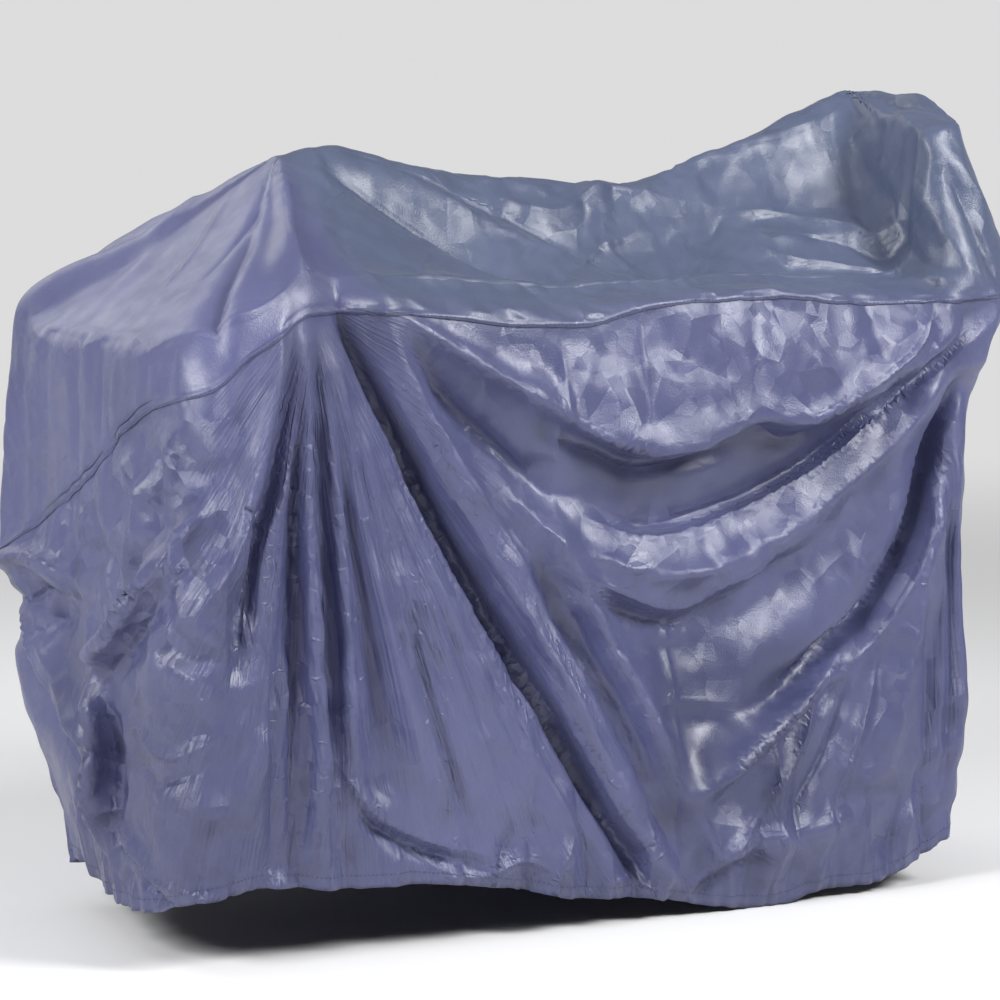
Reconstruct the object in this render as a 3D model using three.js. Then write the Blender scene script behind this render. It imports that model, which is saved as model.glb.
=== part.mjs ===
// A fitted cover for a mobility scooter, in thin coated cloth, hollow and open at its elasticated hem.
// Millimetres, +Z up. The front of the cover faces -X and the side that is best seen faces -Y.
// The origin is under the middle of the cover, on the floor.

import * as THREE from 'three';

// Driving sizes
const FRONT_X = -640;
const REAR_X = 640;
const HALF_WIDTH = 300;
const CORNER_RADIUS = 60;
const CLOTH_THICKNESS = 2.6;
const SEAM_GAP = 0.4;
const TUCK_DEPTH = 38;
const REAR_ROUNDING = 150;

// Where the middle of the draped cover lies in the coordinates of the tables below
const MIDDLE_X = 9.99;
const MIDDLE_Y = -1.25;

// How many rows of faces the cloth has from hem to seam, from seam to top edge and on to the crest
const SKIRT_ROWS = 20;
const EDGE_ROWS = 3;
const CROWN_ROWS = 5;

// How many straight steps a fold's path is followed in
const FOLD_STEPS = 12;

// A section is a line of the cloth from the hem up to the crest along the middle of the cover.
// around: where it crosses the seam, measured round the outline from the near front corner
// foot: the same at the hem, because the cloth fans out from the handlebar grips
// steps: columns of faces up to the next section
// hemZ, lipZ, seamZ, edgeZ: heights of the hem, of the fullest place under the seam, of the seam and
// of the top edge. hem, low, middle, waist, lip, seam, edge: how far the cloth stands out of the
// outline at the hem, at three heights between hem and lip, and at the three heights above
// crestX: where the section meets the crest. sag: how far the cloth sinks between edge and crest
const SECTION_COLUMNS = [
  'name', 'around', 'foot', 'steps', 'hemZ', 'hem', 'low', 'middle', 'waist', 'tuck', 'lipZ', 'lip',
  'seamZ', 'seam', 'edgeZ', 'edge', 'crestX', 'sag',
];
const SECTION_ROWS = [
  ['near front corner', 20, 0, 4, 104, 15, 36, 45, 12, 8, 735, 8, 785, 2, 822, -12, -363, 0],
  ['near front arc', 80, 90, 4, 115, 0, 20, 12, 5, 4, 770, 4, 826, 0, 872, -20, -363, 0],
  ['below near grip', 130, 210, 4, 100, 0, 12, 2, -5, -2, 800, 0, 855, -4, 903, -34, -363, 0],
  ['near grip', 182, 330, 5, 95, 0, 8, 0, -12, -12, 830, -12, 880, -15, 943, -50, -363, 0],
  ['behind near grip', 260, 470, 5, 76, 5, 15, 5, -10, -8, 800, -8, 881, -8, 928, -65, -265, 8],
  ['near tiller', 385, 600, 4, 48, 8, 20, 8, -5, -2, 770, 0, 872, 0, 922, -72, -140, 15],
  ['ahead of near arm', 500, 690, 3, 40, 0, 22, 10, 0, 8, 745, 18, 860, 4, 909, -78, -30, 25],
  ['near arm front', 590, 760, 3, 26, 0, 25, 10, 0, 6, 718, 38, 858, 8, 902, -80, 70, 20],
  ['near arm dip', 680, 830, 3, 12, 0, 22, 8, -4, 0, 690, 48, 876, 10, 900, -80, 160, 25],
  ['near arm middle', 800, 930, 3, 0, 0, 18, 6, -6, -2, 705, 46, 888, 8, 903, -82, 280, 30],
  ['near arm rear', 920, 1010, 3, 16, 0, 16, 5, -6, 0, 712, 46, 890, 6, 906, -82, 390, 35],
  ['near seat side', 1060, 1100, 3, 18, 0, 15, 5, -4, 6, 745, 42, 879, 6, 904, -82, 490, 35],
  ['near seat back', 1180, 1190, 2, 44, 0, 15, 6, -2, 14, 800, 40, 877, 10, 905, -80, 570, 20],
  ['near sleeve', 1250, 1250, 2, 76, -5, 14, 2, 6, 30, 830, 50, 880, 45, 1000, -52, 605, 0],
  ['near rear corner', 1290, 1290, 2, 84, -6, 13, 0, 8, 45, 840, 65, 885, 65, 1105, -50, 620, 0],
  ['rear near', 1345, 1345, 3, 85, -12, 12, 0, 12, 45, 830, 70, 880, 85, 1130, 16, 620, 0],
  ['rear near shoulder', 1450, 1450, 2, 80, -22, 8, 3, 12, 40, 825, 60, 875, 75, 1174, 18, 620, 0],
  ['rear middle', 1580, 1580, 4, 60, -25, 10, 5, 12, 32, 820, 45, 870, 60, 1168, 20, 620, 0],
  ['rear far', 1820, 1820, 2, 60, -20, 10, 0, 10, 30, 815, 45, 870, 60, 1085, 0, 620, 0],
  ['far rear corner', 1875, 1875, 4, 45, -10, 15, 5, 5, 24, 800, 40, 866, 45, 1020, -45, 620, 0],
  ['far seat side', 1960, 1960, 9, 35, 0, 15, 5, -2, 8, 760, 32, 850, 10, 905, -75, 570, 0],
  ['far arm rear', 2180, 2170, 10, 30, 0, 15, 5, -5, 4, 715, 38, 820, 6, 900, -80, 390, 0],
  ['far arm front', 2480, 2440, 9, 30, 0, 18, 5, -5, 0, 690, 26, 780, 0, 898, -78, 100, 0],
  ['far tiller', 2720, 2640, 7, 40, 0, 16, 5, -5, 0, 620, 5, 730, 0, 915, -70, -130, 0],
  ['far grip', 2978, 2920, 4, 55, -15, 5, 0, -5, -2, 520, 0, 640, -5, 955, -38, -363, 0],
  ['far front arc', 3080, 3060, 5, 60, -55, -30, -8, 5, 5, 440, 5, 560, 5, 893, -14, -363, 0],
  ['far front corner', 3150, 3150, 3, 78, -85, -58, -22, 8, 12, 400, 12, 500, 10, 864, 14, -363, 0],
  ['front far', 3230, 3230, 4, 80, -62, -42, -12, 10, 14, 430, 15, 545, 8, 808, 4, -363, 0],
  ['front middle', 3460, 3460, 4, 62, -14, 8, 18, 12, 12, 600, 12, 655, 8, 812, 0, -363, 0],
  ['front near', 3640, 3640, 3, 72, 18, 32, 40, 20, 10, 700, 10, 755, 5, 816, 0, -363, 0],
];

// The crest runs along the middle of the cover, over the console, the well and the seat back
const CREST_ROWS = [
  [-363, 1082], [-290, 1095], [-145, 1070], [5, 1051], [212, 1043], [355, 1079], [538, 1150], [620, 1180],
];

// A fold is a soft ridge where rise is positive and a trough where it is negative. It follows a smooth
// path through its points, and fades out at width to either side.
const FOLD_COLUMNS = ['name', 'width', 'rise', 'points'];

// Folds of the sides: points are distance round the outline and height, and rise is outward.
// The front is at distances below 0, measured back from the near front corner
const SIDE_FOLD_ROWS = [
  ['corner pleat', 42, 20, [130, 850, 85, 680, 5, 475]],
  ['groove beside corner pleat', 38, -16, [147, 850, 110, 640, 50, 420]],
  ['second pleat', 42, 18, [164, 855, 131, 657, 80, 380, 75, 250]],
  ['groove of second pleat', 40, -20, [168, 850, 152, 640, 135, 420, 130, 160]],
  ['long thin pleat', 36, 26, [172, 840, 168, 629, 171, 300, 168, 150]],
  ['groove of long thin pleat', 38, -20, [190, 850, 195, 600, 198, 220]],
  ['third pleat', 40, 18, [205, 800, 222, 560, 224, 280]],
  ['groove of third pleat', 42, -16, [220, 800, 248, 540, 268, 230]],
  ['fourth pleat', 46, 20, [228, 800, 272, 540, 315, 330, 350, 200]],
  ['deep groove', 52, -44, [226, 890, 277, 771, 370, 591, 465, 420, 579, 243, 700, 80]],
  ['crest over deep groove', 48, 22, [270, 880, 345, 740, 455, 560, 565, 380, 690, 190]],
  ['slanting ridge', 44, 20, [290, 880, 400, 815, 455, 786, 555, 735]],
  ['hollow under slanting ridge', 60, -24, [345, 800, 455, 690, 540, 620]],
  ['left arm of the vee', 50, 30, [470, 640, 562, 525, 640, 395, 695, 291, 746, 185]],
  ['groove by left arm', 40, -22, [520, 500, 590, 370, 670, 230, 740, 110]],
  ['lower pleat', 40, 18, [520, 380, 600, 260, 690, 130, 765, 40]],
  ['right arm of the vee', 52, 34, [775, 180, 849, 235, 954, 305, 1045, 372]],
  ['hollow in the vee', 120, -20, [770, 260, 790, 400]],
  ['swag', 62, 34, [1235, 800, 1150, 700, 1020, 600, 830, 510, 690, 505, 560, 560]],
  ['hollow over swag', 62, -16, [1090, 690, 930, 610, 760, 585, 620, 620]],
  ['hollow under swag', 58, -18, [1010, 510, 800, 405, 640, 420]],
  ['crevice under arm', 44, -30, [1255, 880, 1235, 810, 1170, 745, 1090, 680]],
  ['long crevice', 50, -40, [1240, 740, 1209, 660, 1164, 532, 1090, 429, 1000, 350, 892, 290]],
  ['pleat behind long crevice', 44, 22, [1225, 620, 1185, 460, 1150, 330, 1110, 180]],
  ['rear pleat', 38, 14, [1262, 780, 1258, 500, 1250, 150]],
  ['low crease', 60, 16, [790, 130, 900, 90, 1010, 110]],
  ['nose', 56, 28, [-610, 500, -480, 518, -345, 500]],
  ['hollow under nose', 50, -20, [-600, 420, -460, 425, -360, 450]],
  ['front swag', 44, 18, [-190, 690, -110, 640, -140, 520]],
  ['tip', 50, 32, [-255, 400, -165, 440, -75, 510, -10, 620]],
  ['upright fold', 42, 24, [-235, 380, -228, 290, -268, 150]],
  ['groove by upright fold', 44, -22, [-175, 340, -190, 240, -215, 150]],
  ['corner tip', 42, 18, [12, 640, -12, 560, -5, 470]],
  ['front diagonal', 50, 20, [-530, 450, -375, 330, -265, 270]],
  ['hollow under front diagonal', 50, -18, [-500, 330, -400, 240, -340, 150]],
  ['far pipe', 40, 10, [-565, 720, -567, 520]],
  ['front pipe', 38, 10, [-500, 720, -504, 540]],
  ['far grip pleat', 52, 22, [-790, 600, -860, 330, -900, 60]],
  ['far grip front pleat', 46, 18, [-755, 600, -735, 340, -725, 90]],
  ['far grip long pleat', 56, 22, [-830, 620, -965, 350, -1070, 70]],
  ['far grip groove', 50, -22, [-810, 600, -905, 340, -985, 80]],
  ['far swag', 64, 28, [1930, 760, 2080, 600, 2300, 500, 2520, 560]],
  ['hollow over far swag', 66, -20, [2060, 680, 2300, 600, 2480, 630]],
  ['far low pleat', 52, 18, [2060, 430, 2110, 60]],
  ['far low groove', 50, -18, [2200, 400, 2225, 80]],
  ['far wide pleat', 60, 22, [2330, 420, 2330, 60]],
  ['far rear pleat', 46, 16, [1950, 620, 1980, 80]],
  ['rear first pleat', 50, 20, [1400, 780, 1395, 400, 1385, 100]],
  ['rear first groove', 48, -18, [1475, 760, 1485, 400, 1490, 100]],
  ['rear middle pleat', 52, 20, [1570, 760, 1590, 420, 1560, 90]],
  ['rear second groove', 48, -18, [1690, 780, 1700, 400, 1725, 90]],
  ['rear far pleat', 48, 18, [1790, 780, 1795, 400, 1815, 100]],
];

// Folds of the top: points are x and y, and rise is upward
const TOP_FOLD_ROWS = [
  ['valley behind console', 60, -16, [-320, -40, -230, -75, -130, -130, -40, -200]],
  ['ridge over valley', 50, 10, [-250, -20, -120, -60, 20, -120]],
  ['seat side crease', 56, 16, [610, -180, 480, -150, 330, -120]],
  ['hollow before seat', 90, -14, [150, -170, 260, -120]],
  ['far valley', 60, -14, [-300, 50, -180, 110, -60, 190]],
  ['far seat crease', 56, 14, [600, 160, 470, 140, 330, 110]],
  ['front slope crease', 44, 7, [-590, 90, -480, 120, -400, 150]],
];

// Where the sides' folds begin to count their distance, half way along the far side
const CHART_START = -1200;

const OUTLINE_LENGTH = 2 * (REAR_X - FRONT_X) + 4 * HALF_WIDTH;

/** Turns a table's rows into records with named fields. */
function named(columns, rows) {
  return rows.map((row) => Object.fromEntries(columns.map((column, i) => [column, row[i]])));
}

/** Turns a table of folds into records that hold the path each one follows. */
function foldsOf(rows) {
  return named(FOLD_COLUMNS, rows).map((fold) => ({ ...fold, path: foldPath(fold) }));
}

const SECTIONS = named(SECTION_COLUMNS, SECTION_ROWS);
const SIDE_FOLDS = foldsOf(SIDE_FOLD_ROWS);
const TOP_FOLDS = foldsOf(TOP_FOLD_ROWS);
const CREST_FRONT = CREST_ROWS[0][0];
const CREST_REAR = CREST_ROWS[CREST_ROWS.length - 1][0];
const crestHeight = smoothCurve(CREST_ROWS.map(([x]) => x), CREST_ROWS.map(([, z]) => z));

/** A monotone cubic through (xs, ys), which never overshoots between two knots. */
function smoothCurve(xs, ys) {
  const last = xs.length - 1;
  const widths = xs.slice(1).map((x, i) => x - xs[i]);
  const slopes = widths.map((width, i) => (ys[i + 1] - ys[i]) / width);
  const tangents = ys.map((_, i) => {
    if (i === 0) return slopes[0];
    if (i === last) return slopes[last - 1];
    const before = slopes[i - 1];
    const after = slopes[i];
    if (before * after <= 0) return 0;
    const weightBefore = 2 * widths[i] + widths[i - 1];
    const weightAfter = widths[i] + 2 * widths[i - 1];
    return (weightBefore + weightAfter) / (weightBefore / before + weightAfter / after);
  });
  return (x) => {
    let i = 0;
    while (i < last - 1 && x > xs[i + 1]) i += 1;
    const t = THREE.MathUtils.clamp((x - xs[i]) / widths[i], 0, 1);
    const t2 = t * t;
    const t3 = t2 * t;
    return (2 * t3 - 3 * t2 + 1) * ys[i] + (t3 - 2 * t2 + t) * widths[i] * tangents[i]
      + (3 * t2 - 2 * t3) * ys[i + 1] + (t3 - t2) * widths[i] * tangents[i + 1];
  };
}

/** The outline's point and outward direction at a distance round it from the near front corner. */
function outlineAt(distance) {
  const length = REAR_X - FRONT_X;
  const width = 2 * HALF_WIDTH;
  const sides = [
    { start: 0, size: length, x: FRONT_X, y: -HALF_WIDTH, dx: 1, dy: 0 },
    { start: length, size: width, x: REAR_X, y: -HALF_WIDTH, dx: 0, dy: 1 },
    { start: length + width, size: length, x: REAR_X, y: HALF_WIDTH, dx: -1, dy: 0 },
    { start: 2 * length + width, size: width, x: FRONT_X, y: HALF_WIDTH, dx: 0, dy: -1 },
  ];
  const wrapped = THREE.MathUtils.euclideanModulo(distance, OUTLINE_LENGTH);
  const side = sides.findLast((candidate) => wrapped >= candidate.start);
  const along = wrapped - side.start;
  const turnBefore = Math.max(0, 1 - along / CORNER_RADIUS);
  const turnAfter = Math.max(0, 1 - (side.size - along) / CORNER_RADIUS);
  const angle = (turnAfter - turnBefore) * Math.PI / 4;
  const straight = THREE.MathUtils.clamp(along, CORNER_RADIUS, side.size - CORNER_RADIUS);
  const nx = side.dy * Math.cos(angle) + side.dx * Math.sin(angle);
  const ny = -side.dx * Math.cos(angle) + side.dy * Math.sin(angle);
  return {
    x: side.x + side.dx * straight - side.dy * CORNER_RADIUS + nx * CORNER_RADIUS,
    y: side.y + side.dy * straight + side.dx * CORNER_RADIUS + ny * CORNER_RADIUS,
    nx,
    ny,
  };
}

/** Every field of the section table as a smooth closed curve, read at each half column of faces. */
function sectionColumns() {
  const starts = [];
  let count = 0;
  for (const section of SECTIONS) {
    starts.push(count);
    count += section.steps;
  }
  const wrap = 3;
  const around = (index) => THREE.MathUtils.euclideanModulo(index, SECTIONS.length);
  const laps = (index) => Math.floor(index / SECTIONS.length);
  const indices = Array.from({ length: SECTIONS.length + 2 * wrap }, (_, i) => i - wrap);
  const knots = indices.map((i) => starts[around(i)] + laps(i) * count);
  const curves = {};
  for (const field of SECTION_COLUMNS.filter((column) => column !== 'name' && column !== 'steps')) {
    const travels = field === 'around' || field === 'foot';
    const values = indices.map((i) => SECTIONS[around(i)][field] + (travels ? laps(i) * OUTLINE_LENGTH : 0));
    curves[field] = smoothCurve(knots, values);
  }
  return Array.from({ length: 2 * count }, (_, half) => (
    Object.fromEntries(Object.entries(curves).map(([field, curve]) => [field, curve(half / 2)]))
  ));
}

/** Points along a smooth path through a fold's knots. */
function foldPath(fold) {
  const knots = [];
  for (let i = 0; i < fold.points.length; i += 2) {
    knots.push(new THREE.Vector3(fold.points[i], fold.points[i + 1], 0));
  }
  return new THREE.CatmullRomCurve3(knots, false, 'centripetal').getPoints(FOLD_STEPS);
}

/** The height that one fold adds at a point: full along its path, fading to its sides and ends. */
function foldHeight(fold, a, b) {
  let nearest = Infinity;
  let place = 0;
  for (let i = 0; i < FOLD_STEPS; i += 1) {
    const from = fold.path[i];
    const dx = fold.path[i + 1].x - from.x;
    const dy = fold.path[i + 1].y - from.y;
    const t = THREE.MathUtils.clamp(((a - from.x) * dx + (b - from.y) * dy) / (dx * dx + dy * dy), 0, 1);
    const distance = Math.hypot(a - from.x - t * dx, b - from.y - t * dy);
    if (distance < nearest) {
      nearest = distance;
      place = (i + t) / FOLD_STEPS;
    }
  }
  if (nearest >= fold.width) return 0;
  const across = (1 - (nearest / fold.width) ** 2) ** 2;
  const ends = Math.min(1, (0.15 + place) / 0.3, (1.15 - place) / 0.3);
  return fold.rise * across * ends;
}

/** The height of all the folds of a table at a point of its face. */
function allFolds(folds, a, b) {
  return folds.reduce((sum, fold) => sum + foldHeight(fold, a, b), 0);
}

/** A point of the skirt at a height of its section. */
function skirtPoint(section, z) {
  const span = section.lipZ - section.hemZ;
  const outward = smoothCurve(
    [section.hemZ, section.hemZ + 0.22 * span, section.hemZ + 0.52 * span, section.hemZ + 0.78 * span,
      section.lipZ - TUCK_DEPTH, section.lipZ, section.seamZ],
    [section.hem, section.low, section.middle, section.waist, section.tuck, section.lip, section.seam],
  );
  const down = THREE.MathUtils.clamp((section.seamZ - z) / (section.seamZ - section.hemZ), 0, 1);
  const around = section.around + (section.foot - section.around) * down;
  const { x, y, nx, ny } = outlineAt(around);
  const chart = THREE.MathUtils.euclideanModulo(around - CHART_START, OUTLINE_LENGTH) + CHART_START;
  const out = outward(z) + allFolds(SIDE_FOLDS, chart, z);
  return new THREE.Vector3(x + nx * out, y + ny * out, z);
}

/** The places of a section's line over the top: seam, edge, sinking middle and crest. */
function topKnots(section, crestX) {
  const { x, y, nx, ny } = outlineAt(section.around);
  const edge = new THREE.Vector3(x + nx * section.edge, y + ny * section.edge, section.edgeZ);
  const crest = new THREE.Vector3(crestX, 0, crestHeight(crestX));
  const middle = edge.clone().lerp(crest, 0.5);
  middle.z -= section.sag;
  return { edge, middle, crest };
}

/** Where a section's line would go on past the crest: down the other side, or straight on at the front. */
function beyondCrest(own, opposite, crestX) {
  if (crestX === CREST_FRONT) return own.crest.clone().multiplyScalar(2).sub(own.middle);
  if (opposite && crestX < CREST_REAR) return topKnots(opposite, crestX).middle;
  return new THREE.Vector3(crestX - REAR_ROUNDING, 0, crestHeight(crestX - REAR_ROUNDING));
}

/** The rows of points of a section's line over the top, from above the seam to the crest. */
function topLine(section, opposite, crestX, seamPoint, belowSeam) {
  const own = topKnots(section, crestX);
  const knots = [belowSeam, seamPoint, own.edge, own.middle, own.crest, beyondCrest(own, opposite, crestX)];
  const lengths = [0];
  for (let i = 1; i < knots.length; i += 1) {
    lengths.push(lengths[i - 1] + knots[i].distanceTo(knots[i - 1]));
  }
  const curves = ['x', 'y', 'z'].map((axis) => smoothCurve(lengths, knots.map((knot) => knot[axis])));
  const places = [];
  for (let i = 1; i <= 2 * EDGE_ROWS; i += 1) {
    places.push(THREE.MathUtils.lerp(lengths[1], lengths[2], i / (2 * EDGE_ROWS)));
  }
  for (let i = 1; i <= 2 * CROWN_ROWS; i += 1) {
    places.push(THREE.MathUtils.lerp(lengths[2], lengths[4], i / (2 * CROWN_ROWS)));
  }
  return places.map((place) => {
    const point = new THREE.Vector3(...curves.map((curve) => curve(place)));
    const overTop = THREE.MathUtils.smoothstep(place, lengths[1], lengths[2]);
    point.z += overTop * allFolds(TOP_FOLDS, point.x, point.y);
    return point;
  });
}

/** The cloth's outer face in half steps: a list of rows, each a list with one point for each column. */
function clothRows() {
  const sections = sectionColumns();
  const nearLast = 2 * stepsUpTo('near rear corner');
  const farFirst = 2 * stepsUpTo('far rear corner');
  const rowCount = 2 * SKIRT_ROWS;
  const lines = sections.map((section, column) => {
    const onNear = column <= nearLast;
    const onFar = column >= farFirst && column <= farFirst + nearLast;
    const opposite = onNear || onFar ? sections[farFirst + nearLast - column] : null;
    const crestX = onFar ? opposite.crestX : section.crestX;
    const skirt = [];
    for (let row = 0; row <= rowCount; row += 1) {
      skirt.push(skirtPoint(section, THREE.MathUtils.lerp(section.hemZ, section.seamZ, row / rowCount)));
    }
    return [...skirt, ...topLine(section, opposite, crestX, skirt[rowCount], skirt[rowCount - 2])];
  });
  return lines[0].map((_, row) => lines.map((line) => line[row]));
}

/** Every second member of a list, from its first. */
function everySecond(list) {
  return list.filter((_, index) => index % 2 === 0);
}

/** The number of columns of faces before a section. */
function stepsUpTo(name) {
  const index = SECTIONS.findIndex((section) => section.name === name);
  return SECTIONS.slice(0, index).reduce((sum, section) => sum + section.steps, 0);
}

/** The triangles between two rows. Each four-sided face is cut along the diagonal that the cloth follows. */
function clothFaces(rows, halfSteps, numbers, firstRow, lastRow) {
  const faces = [];
  const columns = rows[0].length;
  const gap = (from, to, centre) => from.clone().lerp(to, 0.5).distanceTo(centre);
  for (let row = firstRow; row < lastRow; row += 1) {
    for (let column = 0; column < columns; column += 1) {
      const next = (column + 1) % columns;
      const [a, b] = [numbers[row][column], numbers[row][next]];
      const [d, c] = [numbers[row + 1][column], numbers[row + 1][next]];
      const centre = halfSteps[2 * row + 1][2 * column + 1];
      const first = gap(rows[row][column], rows[row + 1][next], centre);
      const second = gap(rows[row][next], rows[row + 1][column], centre);
      const pair = first <= second ? [[a, b, c], [a, c, d]] : [[a, b, d], [b, c, d]];
      faces.push(...pair.filter(([i, j, k]) => i !== j && j !== k && k !== i));
    }
  }
  return faces;
}

/** One number for each different point of the grid, and the points in that order. */
function numberPoints(rows) {
  const places = new Map();
  const points = [];
  const numbers = rows.map((row) => row.map((point) => {
    const key = point.toArray().map((value) => value.toFixed(3)).join(' ');
    if (!places.has(key)) {
      places.set(key, points.length);
      points.push(point);
    }
    return places.get(key);
  }));
  return { numbers, points };
}

/** The outward direction at each point, from all faces round it. */
function pointNormals(points, faces) {
  const normals = points.map(() => new THREE.Vector3());
  for (const [a, b, c] of faces) {
    const across = points[b].clone().sub(points[a]).cross(points[c].clone().sub(points[a]));
    normals[a].add(across);
    normals[b].add(across);
    normals[c].add(across);
  }
  return normals.map((normal) => normal.normalize());
}

/** Closes a sheet of faces into cloth of real thickness, with an inner face and a rim at each edge. */
function thickSheet(points, normals, faces) {
  const positions = [];
  const places = new Map();
  const place = (number, inner) => {
    const key = inner ? -1 - number : number;
    if (!places.has(key)) {
      places.set(key, positions.length / 3);
      positions.push(...points[number].clone().addScaledVector(normals[number], inner ? -CLOTH_THICKNESS : 0));
    }
    return places.get(key);
  };
  const indices = [];
  const edges = new Set(faces.flatMap(([a, b, c]) => [`${a} ${b}`, `${b} ${c}`, `${c} ${a}`]));
  for (const [a, b, c] of faces) {
    indices.push(place(a, false), place(b, false), place(c, false));
    indices.push(place(a, true), place(c, true), place(b, true));
    for (const [i, j] of [[a, b], [b, c], [c, a]].filter(([i, j]) => !edges.has(`${j} ${i}`))) {
      // Both pieces cut their rims from the higher number outside to the lower inside, so the rims match
      const turned = j > i;
      indices.push(place(j, false), place(i, false), place(turned ? i : j, true));
      indices.push(place(turned ? j : i, false), place(i, true), place(j, true));
    }
  }
  const geometry = new THREE.BufferGeometry();
  geometry.setAttribute('position', new THREE.Float32BufferAttribute(positions, 3));
  geometry.setIndex(indices);
  geometry.computeVertexNormals();
  return geometry;
}

/** The finish of the coated cloth. */
function coatedCloth(colour) {
  return new THREE.MeshStandardMaterial({ color: colour, roughness: 0.38, metalness: 0 });
}

/** Moves a seam row along the cloth, so that the two sewn pieces are a hair apart. */
function partAtSeam(rows, seamRow, towards) {
  return rows.map((row, index) => (index !== seamRow ? row : row.map((point, column) => {
    const along = rows[seamRow + towards][column].clone().sub(point).normalize();
    return point.clone().addScaledVector(along, SEAM_GAP / 2);
  })));
}

/** The whole cover: the skirt and the top panel that is sewn to it. */
function makeCover() {
  const halfSteps = clothRows();
  const rows = everySecond(halfSteps).map(everySecond);
  const lastRow = rows.length - 1;
  const { numbers, points } = numberPoints(rows);
  const normals = pointNormals(points, clothFaces(rows, halfSteps, numbers, 0, lastRow));
  const cover = new THREE.Group();
  const addPiece = (name, colour, firstRow, endRow, seamRow, towards) => {
    const placed = points.slice();
    partAtSeam(rows, seamRow, towards)[seamRow].forEach((point, column) => {
      placed[numbers[seamRow][column]] = point;
    });
    const faces = clothFaces(rows, halfSteps, numbers, firstRow, endRow);
    const mesh = new THREE.Mesh(thickSheet(placed, normals, faces), coatedCloth(colour));
    mesh.name = name;
    cover.add(mesh);
  };
  addPiece('skirt', 0x5b5f8e, 0, SKIRT_ROWS, SKIRT_ROWS, -1);
  addPiece('top_panel', 0x6a7099, SKIRT_ROWS, lastRow, SKIRT_ROWS, 1);
  cover.position.set(-MIDDLE_X, -MIDDLE_Y, 0);
  return cover;
}

export default makeCover();
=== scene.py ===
"""Looks of a fitted cover for a mobility scooter, in thin coated nylon.

The form repeats the sections and folds of the part's source, in millimetres and in the same
coordinates. The cloth is meshed on that form, given slightly more cloth than the form needs,
settled by a cloth simulation so that it buckles, and dressed with creases, gathers, a lapped seam
and stitches. Every finished piece is in metres, in the frame of the solids.
"""

from __future__ import annotations

import logging
import math
from dataclasses import dataclass, field
from enum import Enum

import bpy
import numpy as np
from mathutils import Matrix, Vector, geometry, noise


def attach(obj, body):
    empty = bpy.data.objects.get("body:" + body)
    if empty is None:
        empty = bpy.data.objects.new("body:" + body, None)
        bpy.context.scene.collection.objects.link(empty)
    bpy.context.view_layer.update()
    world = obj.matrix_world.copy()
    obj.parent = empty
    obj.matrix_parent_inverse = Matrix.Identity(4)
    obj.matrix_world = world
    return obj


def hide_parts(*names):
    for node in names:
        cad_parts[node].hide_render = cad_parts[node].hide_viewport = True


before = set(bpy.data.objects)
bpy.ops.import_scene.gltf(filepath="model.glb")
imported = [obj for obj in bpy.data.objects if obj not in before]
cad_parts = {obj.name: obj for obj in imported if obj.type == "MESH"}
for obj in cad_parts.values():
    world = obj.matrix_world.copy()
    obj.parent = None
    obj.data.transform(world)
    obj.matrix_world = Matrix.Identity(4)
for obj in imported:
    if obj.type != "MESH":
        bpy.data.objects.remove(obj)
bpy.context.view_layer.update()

Array = np.ndarray
Socket = bpy.types.NodeSocket
Range = tuple[float, float]
Colour = tuple[float, float, float, float]
LOG = logging.getLogger("cover")
MM = 0.001

# Driving sizes, as in the part's source
FRONT_X = -640.0
REAR_X = 640.0
HALF_WIDTH = 300.0
CORNER_RADIUS = 60.0
TUCK_DEPTH = 38.0
REAR_ROUNDING = 150.0
SKIRT_ROWS = 20
LEVEL_SHARES = (0.0, 0.22, 0.52, 0.78)
CHART_START = -1200.0
OUTLINE_LENGTH = 2 * (REAR_X - FRONT_X) + 4 * HALF_WIDTH

# The near grip, round the outline and in height
GRIP = (180.0, 905.0)

# Where the middle of the draped cover lies in the coordinates of the tables below
MIDDLE = np.array([9.99, -1.25, 0.0])

# The share of a path over which a fold's end tapers, and the rise that gets the full sharp line
END_TAPER = 0.3
FULL_LINE_RISE = 9.0

# Columns whose crest lies this close to its ends have no opposite line
CREST_MARGIN = 0.01

# Too short a length to divide by
TINY = 1e-9

SEED = 20


@dataclass(frozen=True)
class Section:
    """A line of the cloth from the hem up to the crest along the middle of the cover, in millimetres.

    around is where it crosses the seam, round the outline from the near front corner, and foot the
    same at the hem. hem, low, middle, waist, tuck, lip, seam and edge are how far the cloth stands
    out of the outline at rising heights, and sag is how far it sinks between edge and crest.
    """

    name: str
    around: float
    foot: float
    steps: int
    hem_z: float
    hem: float
    low: float
    middle: float
    waist: float
    tuck: float
    lip_z: float
    lip: float
    seam_z: float
    seam: float
    edge_z: float
    edge: float
    crest_x: float
    sag: float


class FoldForm(Enum):
    """How a fold's height falls from its path to its sides."""

    ROUND = "round"
    CRISP = "crisp"


@dataclass(frozen=True)
class Fold:
    """A ridge where rise is positive and a trough where it is negative, along a smooth path.

    On the sides the points are distance round the outline and height, and rise is outward. On the
    top they are x and y, and rise is upward. lean is how far the fold lies over to its path's left.
    """

    name: str
    width: float
    rise: float
    points: tuple[float, ...]
    form: FoldForm = FoldForm.CRISP
    lean: float = 0.0


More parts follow.
